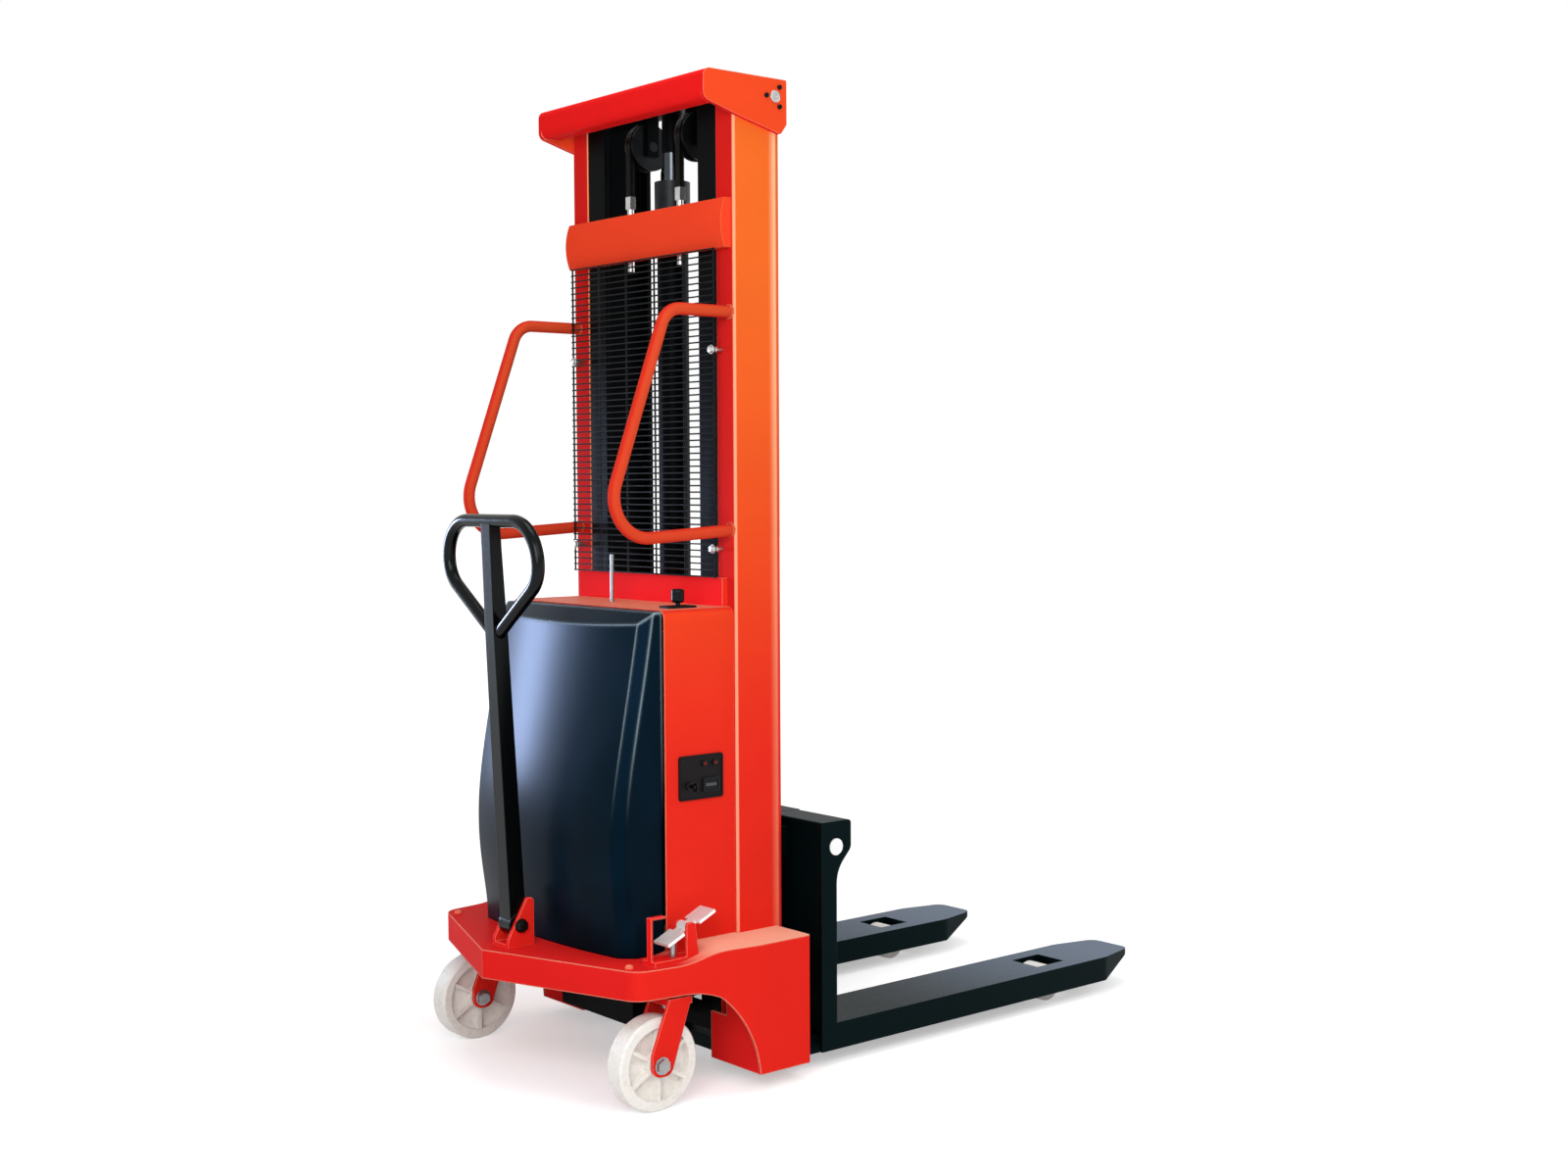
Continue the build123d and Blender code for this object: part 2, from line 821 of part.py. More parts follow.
def fork():
    # Blade folded down over the support leg, with a window for the load roller, and a shank
    # with a hook at its top that hangs on the fork shaft.
    side_view = Polyline(
        (shank_rear - 1, fork_bottom),
        (fork_chamfer_y, fork_bottom),
        (fork_tip_y, fork_tip_low),
        (fork_tip_y + 1, fork_top),
        (shank_rear - 1, fork_top),
        close=True,
    )
    reach = fork_x + fork_width
    blade = slab_z(blade_outline(0), fork_bottom, fork_top) & slab_x(side_view, 0, reach)
    # The hollow's front slopes up beside the nose's underside, one wall away from it.
    nose_rise = (fork_tip_low - fork_bottom) / (fork_tip_y - fork_chamfer_y)
    nose_foot = fork_chamfer_y - fork_wall * sqrt(1 + 1 / nose_rise ** 2)
    nose_end = nose_foot + (fork_top - fork_roof - fork_bottom) / nose_rise
    hollow_view = Polyline(
        (shank_rear - 2, fork_bottom - 1),
        (nose_foot - 1 / nose_rise, fork_bottom - 1),
        (nose_end, fork_top - fork_roof),
        (shank_rear - 2, fork_top - fork_roof),
        close=True,
    )
    hollow_half = fork_width / 2 - fork_wall
    hollow = slab_z(blade_outline(fork_wall), fork_bottom - 2, fork_top - fork_roof)
    hollow += block(fork_x - hollow_half, fork_x + hollow_half, shank_rear - 1, shank_rear + 1,
                    fork_bottom - 2, fork_top - fork_roof)
    blade -= hollow & slab_x(hollow_view, 0, reach)
    slot_half = fork_slot_width / 2
    slot_rear = load_roller_y - load_slot_length / 2
    blade -= block(fork_x - slot_half, fork_x + slot_half, slot_rear,
                   slot_rear + load_slot_length, fork_top - 2 * fork_roof, fork_top + 1)
    front = shank_rear + shank_thick
    shank_view = rounded(
        [
            (shank_rear, shank_low),
            (front, shank_low),
            (front, hook_foot),
            (hook_front, hook_low),
            (hook_front, shank_top),
            (shank_rear, shank_top),
        ],
        [0, 0, hook_sweep, hook_round, fork_wall, fork_wall / 2],
    )
    shank = slab_x(shank_view, fork_x - fork_width / 2, fork_x + fork_width / 2)
    shank -= rod_x(0, reach, shaft_y, shaft_z, shaft_dia)
    return blade + shank


def fork_shaft():
    reach = fork_x + fork_width / 2 + shaft_proud
    return rod_x(-reach, reach, shaft_y, shaft_z, shaft_dia)


def carriage_frame():
    face_front = carriage_face_rear + carriage_face_thick
    body = block(-carriage_half, carriage_half, carriage_face_rear, face_front,
                 carriage_low, carriage_high)
    for low in (carriage_beam_low, carriage_beam_high):
        body += block(-carriage_beam_half, carriage_beam_half, face_front, shank_rear,
                      low, low + carriage_beam)
    body += block(-carriage_half, carriage_half, carriage_face_rear, hook_front,
                  carriage_high, shank_top)
    for side in (-1, 1):
        plate_in = carriage_plate_out - carriage_plate_thick
        x0, x1 = sorted((side * plate_in, side * carriage_plate_out))
        body += block(x0, x1, carriage_plate_rear, carriage_face_rear,
                      carriage_low, carriage_high)
        x0, x1 = sorted((side * (carriage_half - 2 * carriage_plate_thick), side * carriage_half))
        lug_half = shaft_dia
        body += block(x0, x1, face_front, shaft_y + lug_half, shaft_z - lug_half, carriage_high)
        seat = inner_in + face_gap
        for z in (carriage_roller_low, carriage_roller_high):
            body += rod_x(side * carriage_plate_out, side * seat, mast_mid_y, z, shoulder)
            pin_end = seat + roller_narrow + 2 * face_gap
            body += rod_x(side * seat, side * pin_end, mast_mid_y, z, journal)
        x = side * sheave_x
        body += block(x - anchor_nut, x + anchor_nut, chain_front_y - anchor_nut,
                      carriage_face_rear, chain_foot - anchor_plate_thick, chain_foot)
    return body - rod_x(-carriage_beam_half, carriage_beam_half, shaft_y, shaft_z, shaft_dia)


def power_housing():
    # Sheet cover between the mast and the moulded rear cover, open below, behind and in front.
    outer_points = [
        (-housing_half, deck_top),
        (housing_half, deck_top),
        (housing_half, housing_top),
        (-housing_half, housing_top),
    ]
    wall = housing_wall
    inner_points = [
        (-housing_half + wall, deck_top - 1),
        (housing_half - wall, deck_top - 1),
        (housing_half - wall, housing_top - wall),
        (-housing_half + wall, housing_top - wall),
    ]
    round_in = max(housing_round - wall, 1)
    outer = rounded(outer_points, [0, 0, housing_round, housing_round])
    inner = rounded(inner_points, [0, 0, round_in, round_in])
    plane = Plane(origin=(0, 0, 0), x_dir=(1, 0, 0), z_dir=(0, -1, 0))
    shell = extrude(plane * make_face(outer), -housing_rear)
    shell -= extrude(plane * make_face(inner), -housing_rear)
    shell -= block(-lower_beam_half, lower_beam_half, -lower_beam_thick, 1,
                   lower_beam_low, housing_top + 1)
    swing = (housing_top - lever_z) * tan(radians(lever_swing))
    slot_half = swing + lever_rod / 2 + 4 * bolt_play
    shell -= block(lever_x - lever_rod / 2 - 2 * bolt_play, lever_x + lever_rod / 2 + 2 * bolt_play,
                   lever_y - slot_half, lever_y + slot_half,
                   housing_top - 2 * wall, housing_top + 1)
    shell -= rod_z(breather_x, breather_y, housing_top - 2 * wall, housing_top + 1, breather_dia)
    return on_deck(shell)


def cover_section(share, rear, bulge, corner, inset):
    z = deck_top + share * (cover_top - deck_top)
    half = cover_half - inset
    front = housing_rear + inset
    back = rear + bulge + inset
    cut = corner - inset * (2 - sqrt(2))
    left = Line((-half, front), (-half, back + cut))
    left_turn = Line((-half, back + cut), (-half + cut, back))
    rear_arc = ThreePointArc((-half + cut, back), (0, rear + inset), (half - cut, back))
    right_turn = Line((half - cut, back), (half, back + cut))
    right = Line((half, back + cut), (half, front))
    outline = left + left_turn + rear_arc + right_turn + right + Line((half, front), (-half, front))
    return Pos(0, 0, z) * make_face(outline)


def cover_form(inset):
    body = loft([cover_section(*station, inset) for station in cover_stations])
    brow_end = cover_brow - cover_brow_reach
    brow = Polyline(
        (0, deck_top - 1),
        (0, cover_top + 1),
        (cover_brow + 1 / cover_brow_fall, cover_top + 1),
        (brow_end, cover_top - cover_brow_reach * cover_brow_fall),
        (brow_end, deck_top - 1),
        close=True,
    )
    return body & slab_x(brow, -cover_half, cover_half)


def rear_cover():
    # Moulded hood, deeper at its foot, its top sloped at the back, open towards the housing.
    hollow = Pos(0, 0, -cover_wall) * cover_form(cover_wall)
    return on_deck(cover_form(0) - hollow)


def control_panel():
    face = housing_half + panel_thick
    plate = block(housing_half, face, panel_rear, panel_front, panel_low, panel_high)
    plate -= rod_x(housing_half - 1, face + 1, key_y, key_z, key_dia + 2 * bolt_play)
    return plate


def battery_gauge():
    face = housing_half + panel_thick
    half = gauge_width / 2
    return block(face, face + panel_thick / 2, gauge_y - half, gauge_y + half,
                 gauge_z - gauge_height / 2, gauge_z + gauge_height / 2)


def indicator_lamps():
    face = housing_half + panel_thick
    return group(*[rod_x(face, face + lamp_dia / 2, y, lamp_z, lamp_dia) for y in lamp_y])


def key_switch():
    # Barrel in the panel with a flat bow to turn.
    face = housing_half + panel_thick
    barrel = rod_x(housing_half, face + key_proud, key_y, key_z, key_dia)
    bow = block(face + key_proud, face + key_proud + key_bow, key_y - key_dia / 12,
                key_y + key_dia / 12, key_z - key_dia / 2, key_z + key_dia / 2)
    return barrel + bow


def battery_tray():
    # Open box hung below the deck.
    tray = block(-tray_half, tray_half, tray_rear, tray_front, tray_low, leg_top)
    inside = tray_half - tray_wall
    tray -= block(-inside, inside, tray_rear + tray_wall, tray_front - tray_wall,
                  tray_low + tray_wall, leg_top + 1)
    return tray & slab_x(side_outline(deck_thick, False), -leg_x, leg_x)


def battery():
    half = tray_half - tray_wall - battery_gap
    low = tray_low + tray_wall
    top = low + battery_height
    case = block(-half, half, tray_rear + tray_wall + battery_gap,
                 tray_front - tray_wall - battery_gap, low, top)
    middle = (tray_rear + tray_front) / 2
    for side in (-1, 1):
        case += rod_z(side * (half - 24), middle, top, top + 18, 18)
    return case


def pump_motor():
    return on_deck(rod_z(pump_x, pump_y, deck_top, deck_top + pump_height, pump_dia))


def hydraulic_tank():
    # Plate tank hung on the lower beam by two straps.
    strap_rear = -lower_beam_thick - tank_strap
    tank = block(tank_x0, tank_x1, tank_y0, strap_rear, tank_low, tank_top)
    for x in (tank_x0, tank_x1 - 4 * tank_strap):
        tank += block(x, x + 4 * tank_strap, strap_rear, -lower_beam_thick,
                      tank_top - 8 * tank_strap, housing_top - 2 * tank_strap)
    return tank


def valve_block():
    body = block(lever_x - valve_half, lever_x + valve_half, lever_y - valve_half,
                 lever_y + valve_half, valve_low, valve_top)
    body += block(tank_x1, lever_x + valve_half, lever_y - valve_half / 2,
                  lever_y + valve_half / 2, valve_low - valve_foot, valve_low)
    for side in (-1, 1):
        near = lever_x + side * (lever_ear + face_gap)
        far = near + side * lever_ear
        body += block(min(near, far), max(near, far), lever_y - lever_rod, lever_y + lever_rod,
                      valve_top, lever_z + lever_rod)
    return body + rod_x(lever_x - lever_ear - face_gap, lever_x + lever_ear + face_gap,
                        lever_y, lever_z, lever_rod)


def control_lever():
    hub = rod_x(lever_x - lever_ear, lever_x + lever_ear, lever_y, lever_z, 2 * lever_rod)
    rod = rod_z(lever_x, lever_y, lever_z, lever_top, lever_rod)
    knob = rod_z(lever_x, lever_y, lever_top - lever_knob_height, lever_top, lever_knob)
    knob = fillet(knob.edges().filter_by(GeomType.CIRCLE), lever_knob / 5)
    hole = rod_x(lever_x - lever_rod, lever_x + lever_rod, lever_y, lever_z,
                 lever_rod + 2 * running_fit)
    return hub + rod + knob - hole


def breather_tube():
    return rod_z(breather_x, breather_y, tank_top, breather_top, breather_dia)


def pressure_pipe():
    # From the pump down through the deck and under the inner mast to the cylinder's foot.
    outlet_y = pump_y + pump_dia / 2
    points = [
        (pump_x, outlet_y, pipe_outlet_z),
        (pump_x, pipe_drop_y, pipe_outlet_z),
        (pump_x, pipe_drop_y, pipe_z),
        (pump_x, cylinder_y, pipe_z),
        (-cylinder_od / 2, cylinder_y, pipe_z),
    ]
    first_bend = pipe_drop_y - outlet_y - 1
    return tube(points, [first_bend, first_bend, pipe_bend], pipe_dia)


def grab_handle():
    points = [
        (handle_x, handle_dia, handle_high),
        (handle_x, handle_elbow_y, handle_high),
        (handle_x, handle_reach_y, handle_reach_z),
        (handle_x, handle_dia, handle_low),
    ]
    bent = tube(points, [handle_bend_high, handle_bend_low], handle_dia)
    return bent - block(0, mast_half, 0, 2 * handle_dia, 0, overall_height)


def tiller_bracket():
    # Two lugs on a foot plate at the nose of the deck.
    half = tiller_lug_gap + face_gap + tiller_lug
    body = block(-half, half, tiller_lug_rear, tiller_lug_front, deck_top, deck_top + tiller_base)
    for side in (-1, 1):
        near = side * (tiller_lug_gap + face_gap)
        x0, x1 = sorted((near, near + side * tiller_lug))
        view = rounded(
            [
                (tiller_lug_rear, deck_top),
                (tiller_lug_front, deck_top),
                (tiller_lug_front, tiller_lug_top),
                (tiller_lug_front - 2 * tiller_lug, tiller_lug_top),
                (tiller_lug_rear, tiller_lug_heel),
            ],
            [0, 0, tiller_lug, tiller_lug, tiller_lug],
        )
        lug = slab_x(view, x0, x1)
        body += lug - rod_x(x0 - 1, x1 + 1, tiller_y, tiller_z, tiller_pin)
    return body


def tiller_hinge_pin():
    reach = tiller_lug_gap + face_gap + tiller_lug
    pin = rod_x(-reach, reach, tiller_y, tiller_z, tiller_pin)
    for side in (-1, 1):
        pin += rod_x(side * reach, side * (reach + tiller_pin_head), tiller_y, tiller_z,
                     1.4 * tiller_pin)
    return pin


def tiller():
    # Tapered shaft on a hinge eye, with a delta grip of bent tube.
    eye = rod_x(-tiller_eye_width / 2, tiller_eye_width / 2, tiller_y, tiller_z, tiller_eye)
    low = Pos(0, tiller_y, tiller_z) * Rectangle(tiller_base_width, tiller_base_depth)
    high = Pos(0, tiller_y, tiller_neck_z) * Rectangle(tiller_neck, tiller_neck)
    shaft = loft([low, high])
    points = [
        (0, tiller_y, grip_low_z),
        (grip_half, tiller_y, grip_side_low),
        (grip_half, tiller_y, grip_top),
        (-grip_half, tiller_y, grip_top),
        (-grip_half, tiller_y, grip_side_low),
        (0, tiller_y, grip_low_z),
    ]
    path = FilletPolyline(
        *points[:-1],
        radius=[grip_bend_low / 2, grip_bend_low, grip_bend_high, grip_bend_high, grip_bend_low],
        close=True,
    )
    section = Plane(origin=path @ 0, z_dir=path % 0) * Circle(grip_tube / 2)
    grip = sweep(section, path=path)
    crown = Pos(0, tiller_y, grip_top) * Rectangle(tiller_neck, grip_tube - 2)
    bar = loft([high, crown])
    body = eye + shaft + grip + bar
    body -= rod_x(-tiller_eye_width, tiller_eye_width, tiller_y, tiller_z,
                  tiller_pin + 2 * running_fit)
    pivot = Pos(0, tiller_y, tiller_z)
    return pivot * Rot(tiller_lean, 0, 0) * pivot.inverse() * body


def caster_plate(side):
    # Top plate with the hollow kingpin and the bearing race that the fork turns on.
    x = side * caster_x
    half_x = caster_plate_width / 2
    half_y = caster_plate_length / 2
    body = block(x - half_x, x + half_x, caster_y - half_y, caster_y + half_y,
                 caster_plate_z, caster_plate_z + caster_plate_thick)
    body += rod_z(x, caster_y, yoke_crown_high + face_gap, caster_plate_z, race_dia)
    body += rod_z(x, caster_y, kingpin_foot, caster_plate_z, kingpin)
    body += rod_z(x, caster_y, kingpin_foot, yoke_crown_low - face_gap, kingpin_head)
    return body - rod_z(x, caster_y, kingpin_foot - 1, caster_plate_z + caster_plate_thick + 1,
                        kingpin_bore)


def caster_fork(side):
    # Crown on the kingpin and two raked cheeks down to the axle, with the axle bolt in place.
    x = side * caster_x
    axle_y = caster_y - caster_trail
    axle_z = wheel_dia / 2
    inner = wheel_width / 2 + yoke_gap
    outer = inner + yoke_plate
    crown = rod_z(x, caster_y, yoke_crown_low, yoke_crown_high, yoke_crown_dia)
    crown += block(x - outer, x + outer, caster_y - yoke_crown_dia / 2, caster_y + yoke_eye,
                   yoke_crown_low, yoke_crown_high)
    view = rounded(
        [
            (caster_y + yoke_eye, yoke_crown_high),
            (caster_y - yoke_crown_dia / 2, yoke_crown_high),
            (axle_y - yoke_eye, axle_z + yoke_eye),
            (axle_y - yoke_eye, axle_z - yoke_eye),
            (axle_y + yoke_eye, axle_z - yoke_eye),
        ],
        [6, 6, 12, yoke_eye - 2, yoke_eye - 2],
    )
    for near in (x - outer, x + inner):
        cheek = slab_x(view, near, near + yoke_plate)
        crown += cheek - rod_x(near - 1, near + yoke_plate + 1, axle_y, axle_z, caster_axle)
    crown -= rod_z(x, caster_y, yoke_crown_low - 1, yoke_crown_high + 1, kingpin + 2 * running_fit)
    bolt = rod_x(x - outer, x + outer, axle_y, axle_z, caster_axle)
    nut_end = outer + axle_nut_height
    bolt += rod_x(x - nut_end, x - outer, axle_y, axle_z, 1.6 * caster_axle)
    bolt += rod_x(x + outer, x + nut_end, axle_y, axle_z, 1.6 * caster_axle)
    return crown + bolt


def caster_wheel(side):
    # Moulded wheel: tread ring, thin web with stiffening spokes, and hub.
    x = side * caster_x
    y = caster_y - caster_trail
    z = wheel_dia / 2
    half = wheel_width / 2
    rim_in = wheel_dia - 2 * wheel_rim
    rim = rod_x(x - half, x + half, y, z, wheel_dia)
    rim = chamfer(rim.edges().filter_by(GeomType.CIRCLE), wheel_rim / 5)
    rim -= rod_x(x - half - 1, x + half + 1, y, z, rim_in)
    web = rod_x(x - wheel_web / 2, x + wheel_web / 2, y, z, rim_in + 1)
    hub = rod_x(x - half, x + half, y, z, wheel_hub)
    wheel = rim + web + hub
    spoke_half = wheel_web / 4
    for count in range(wheel_spokes):
        angle = 360 / wheel_spokes * count
        spoke = block(-half + 2, half - 2, -spoke_half, spoke_half, wheel_hub / 2 - 2,
                      rim_in / 2 + 1)
        wheel += Pos(x, y, z) * Rot(angle, 0, 0) * spoke
    return wheel - rod_x(x - half - 1, x + half + 1, y, z, caster_axle + 2 * running_fit)


def pedal_bracket():
    # Base plate, two cheeks with the pedal pin, and the bent stop strap behind the pedal.
    cheek_in = pedal_hub_width / 2 + face_gap
    cheek_out = cheek_in + pedal_cheek
    base = block(caster_x - cheek_out, caster_x + cheek_out, strap_y, pedal_pivot_y + pedal_hub,
                 deck_top, deck_top + pedal_base)
    for side in (-1, 1):
        x0, x1 = sorted((caster_x + side * cheek_in, caster_x + side * cheek_out))
        view = rounded(
            [
                (pedal_pivot_y - pedal_hub / 2, deck_top),
                (pedal_pivot_y + pedal_hub, deck_top),
                (pedal_pivot_y + pedal_hub / 2, pedal_pivot_z + pedal_pin),
                (pedal_pivot_y - pedal_hub / 2, pedal_pivot_z + pedal_pin),
            ],
            [0, 0, 6, 6],
        )
        base += slab_x(view, x0, x1)
    base += rod_x(caster_x - cheek_out, caster_x + cheek_out, pedal_pivot_y, pedal_pivot_z,
                  pedal_pin)
    half = strap_width / 2
    base += block(caster_x - half, caster_x + half, strap_y, strap_y + strap_thick,
                  deck_top, strap_top)
    base += block(caster_x - half, caster_x + half, strap_y, strap_y + strap_reach,
                  strap_top - strap_thick, strap_top)
    base -= rod_z(caster_x, caster_y, deck_top - 1, deck_top + 2 * pedal_base,
                  plunger_dia + 2 * bolt_play)
    return on_deck(base)


def brake_pedal():
    # Rocker with a pad at each end, drawn level and then tilted about its pin.
    bar = block(-pedal_bar_width / 2, pedal_bar_width / 2, -pedal_reach, pedal_reach,
                -pedal_thick / 2, pedal_thick / 2)
    for side in (-1, 1):
        y0, y1 = sorted((side * pedal_reach, side * (pedal_reach - pedal_pad)))
        bar += block(-pedal_pad_width / 2, pedal_pad_width / 2, y0, y1,
                     -pedal_thick / 2, pedal_thick / 2)
    bar += rod_x(-pedal_hub_width / 2, pedal_hub_width / 2, 0, 0, pedal_hub)
    bar -= rod_x(-pedal_hub_width, pedal_hub_width, 0, 0, pedal_pin + 2 * running_fit)
    return Pos(caster_x, pedal_pivot_y, pedal_pivot_z) * Rot(pedal_tilt, 0, 0) * bar


def brake_plunger():
    # Pin through the hollow kingpin, from below the pedal to just above the wheel's tread.
    tread = wheel_dia / 2 + sqrt((wheel_dia / 2) ** 2 - (caster_trail - plunger_dia / 2) ** 2)
    arm = pedal_pivot_y - caster_y
    slope = tan(radians(pedal_tilt))
    under = pedal_pivot_z - arm * slope - pedal_thick / 2 / cos(radians(pedal_tilt))
    top = under - plunger_head / 2 * slope - face_gap
    pin = rod_z(caster_x, caster_y, tread + plunger_gap, top, plunger_dia)
    return pin + rod_z(caster_x, caster_y, top - plunger_head_height, top, plunger_head)


column = outer_column()
inner = inner_column()
wrap = chain_wrap()
rear_run = chain_run(chain_rear_y, anchor_eye_top, sheave_z)
front_run = chain_run(chain_front_y, chain_foot, sheave_z)
foot_roller = mast_roller(column_inside + 6 + face_gap, roller_wide, foot_roller_z, outer_roller)
top_roller = mast_roller(inner_out - 2 * face_gap - roller_narrow, roller_narrow, top_roller_z,
                         inner_roller)
carriage_roller_x = inner_in + 2 * face_gap
low_roller = mast_roller(carriage_roller_x, roller_narrow, carriage_roller_low, inner_roller)
high_roller = mast_roller(carriage_roller_x, roller_narrow, carriage_roller_high, inner_roller)
adjusters = thrust_adjuster()
handle = grab_handle()
right_fork = fork()
roller = load_roller()

parts = {
    "base_frame": base_frame(),
    "chassis": chassis(),
    "outer_mast_left": other_side(column),
    "outer_mast_right": column,
    "head_frame": head_frame(),
    "thrust_adjusters": group(*adjusters, *[other_side(piece) for piece in adjusters]),
    "mid_beam": mid_beam(),
    "lower_beam": lower_beam(),
    "mesh_guard": mesh_guard(),
    "guard_bolts": guard_bolts(),
    "lift_cylinder": lift_cylinder(),
    "cylinder_gland": cylinder_gland(),
    "chain_anchors": both_sides(chain_anchor()),
    "chain_rear_runs": both_sides(rear_run),
    "power_housing": power_housing(),
    "rear_cover": rear_cover(),
    "control_panel": control_panel(),
    "battery_gauge": battery_gauge(),
    "indicator_lamps": indicator_lamps(),
    "battery_tray": battery_tray(),
    "battery": battery(),
    "pump_motor": pump_motor(),
    "hydraulic_tank": hydraulic_tank(),
    "valve_block": valve_block(),
    "pressure_pipe": pressure_pipe(),
    "breather_tube": breather_tube(),
    "grab_handle_left": other_side(handle),
    "grab_handle_right": handle,
    "tiller_bracket": tiller_bracket(),
    "tiller_pin": tiller_hinge_pin(),
    "pedal_bracket": pedal_bracket(),
    "caster_plates": group(caster_plate(-1), caster_plate(1)),
    "load_roller_axles": both_sides(load_axle_pin()),
    "inner_mast_columns": both_sides(inner),
    "crosshead": crosshead(),
    "lower_tie": lower_tie(),
    "piston_rod": piston_rod(),
    "sheave_axles": both_sides(sheave_axle_pin()),
    "chain_wraps": both_sides(wrap),
    "chain_sheaves": both_sides(sheave()),
    "top_rollers": both_sides(top_roller),
    "foot_rollers": both_sides(foot_roller),
    "carriage_rollers_lower": both_sides(low_roller),
    "carriage_rollers_upper": both_sides(high_roller),
    "carriage_frame": carriage_frame(),
    "fork_left": other_side(right_fork),
    "fork_right": right_fork,
    "fork_shaft": fork_shaft(),
    "chain_front_runs": both_sides(front_run),
    "caster_fork_left": caster_fork(-1),
    "caster_fork_right": caster_fork(1),
    "caster_wheel_left": caster_wheel(-1),
    "caster_wheel_right": caster_wheel(1),
    "load_roller_left": other_side(roller),
    "load_roller_right": roller,
    "tiller": tiller(),
    "control_lever": control_lever(),
    "key_switch": key_switch(),
    "brake_pedal": brake_pedal(),
    "brake_plunger": brake_plunger(),
}

os.makedirs("parts", exist_ok=True)
for name, shape in parts.items():
    export_step(Pos(0, -origin_y, 0) * shape, f"parts/{name}.step")
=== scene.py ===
import json
import math

import bmesh
import bpy
from mathutils import Matrix, Vector


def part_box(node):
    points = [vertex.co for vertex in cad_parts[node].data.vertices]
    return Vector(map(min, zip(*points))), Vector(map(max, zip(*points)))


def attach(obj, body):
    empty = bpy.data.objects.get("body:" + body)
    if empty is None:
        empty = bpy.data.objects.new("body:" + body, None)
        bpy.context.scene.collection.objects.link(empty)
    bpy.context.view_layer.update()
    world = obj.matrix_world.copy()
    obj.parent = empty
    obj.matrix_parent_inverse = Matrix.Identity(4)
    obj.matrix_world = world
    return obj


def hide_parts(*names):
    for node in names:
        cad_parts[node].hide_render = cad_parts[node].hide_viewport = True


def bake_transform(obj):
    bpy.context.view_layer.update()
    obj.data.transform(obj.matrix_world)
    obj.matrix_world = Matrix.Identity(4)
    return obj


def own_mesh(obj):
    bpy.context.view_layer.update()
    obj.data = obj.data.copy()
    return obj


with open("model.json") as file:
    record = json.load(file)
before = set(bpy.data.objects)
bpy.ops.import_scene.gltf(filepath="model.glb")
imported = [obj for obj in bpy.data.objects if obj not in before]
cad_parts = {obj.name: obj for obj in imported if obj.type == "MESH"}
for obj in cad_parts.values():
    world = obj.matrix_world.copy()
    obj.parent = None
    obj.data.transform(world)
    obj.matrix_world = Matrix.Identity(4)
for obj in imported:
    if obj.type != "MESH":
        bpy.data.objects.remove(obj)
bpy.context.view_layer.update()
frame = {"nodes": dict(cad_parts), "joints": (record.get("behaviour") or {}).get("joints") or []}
nodes = frame["nodes"]
MM = 0.001

# Camera: worked out from the photograph's edges, for an image 1600 wide and 1200 high.
IMAGE_WIDTH = 1600
FOCAL_PIXELS = 1969.56
SENSOR_WIDTH = 36.0
CAMERA_PLACE = (3.2438, -2.7332, 1.1829)
CAMERA_TURN = 49.96
CAMERA_DIP = 3.09
CAMERA_ROLL = -0.28
CAMERA_REACH = 100

# Directions: out to the object's right, back towards the driver, and up.
OUT, BACK, UP = (1, 0, 0), (0, -1, 0), (0, 0, 1)
X, Y, Z = 0, 1, 2

# Places that no node's box gives, in metres.
HANDLE_FOOT = 1.093
WHEEL_TO_CHEEK = 0.009
DECK_TOP = 0.275
DECK_BOLT = (0.312, -0.654)

# Where painted highlights lie along the object: start and end in metres, and the most they paint.
LEG_BOX_TOP_HIGHLIGHT = (-0.58, -0.46, 0.75)
HOUSING_TOP_HIGHLIGHT = (-0.62, -0.54, 0.30)
COLUMN_BEND_HIGHLIGHT = (-0.280, -0.252)
# A fork's top gets a painted reflection from this far along it up to its tip.
FORK_REFLECTION_START, FORK_REFLECTION_MOST = 0.15, 0.8

# Leaf chain: half its width, its plates, its pins, and the radius it runs at on a sheave.
CHAIN_HALF = 8 * MM
WIDE_PLATES, NARROW_PLATES = 4, 3
PLATE_GAP, PLATE_THICK, PLATE_DEEP, PLATE_ROUND = 4.2 * MM, 1.9 * MM, 12 * MM, 0.45
PIN_HALF, PIN_RADIUS = 7.6 * MM, 2.6 * MM
SHEAVE_RADIUS = 45 * MM

# What counts as lying along a direction, across it, and at a place.
ALONG, ACROSS, NEAR = 0.99, 0.01, 1e-5
# Faces that meet at less than this many degrees are shaded as one.
SMOOTH_ANGLE = 35
# The usual chamfer on a cut or turned edge.
BROKEN_EDGE = 0.5 * MM

WHITE = "#FFFFFF"
COOL_SHEEN = "#E4EEF2"
# Rays with which a finish feels for the edges that it rounds over.
EDGE_SAMPLES = 6
# Sockets of a Mix node that mixes two colours.
FIRST, SECOND, MIXED = 6, 7, 2


def linear(code):
    # An sRGB hex value as the linear colour that a shader takes.
    channels = [int(code[i:i + 2], 16) / 255 for i in (1, 3, 5)]
    straight = [c / 12.92 if c <= 0.04045 else ((c + 0.055) / 1.055) ** 2.4 for c in channels]
    return (*straight, 1)


def add_node(material, kind, inputs=None, **settings):
    # Adds a shader node and gives its outputs. An input that is another node's output is
    # linked, any other is set.
    tree = material.node_tree
    made = tree.nodes.new("ShaderNode" + kind)
    for name, value in settings.items():
        setattr(made, name, value)
    for name, value in (inputs or {}).items():
        if isinstance(value, bpy.types.NodeSocket):
            tree.links.new(value, made.inputs[name])
        else:
            made.inputs[name].default_value = value
    return made.outputs


def start_material(name):
    # An empty material with Object coordinates in metres.
    material = bpy.data.materials.new(name)
    material.use_nodes = True
    material.node_tree.nodes.clear()
    place = add_node(material, "TexCoord")["Object"]
    return material, place


def end_material(material, inputs):
    shader = add_node(material, "BsdfPrincipled", inputs)
    add_node(material, "OutputMaterial", {"Surface": shader["BSDF"]})
    return material


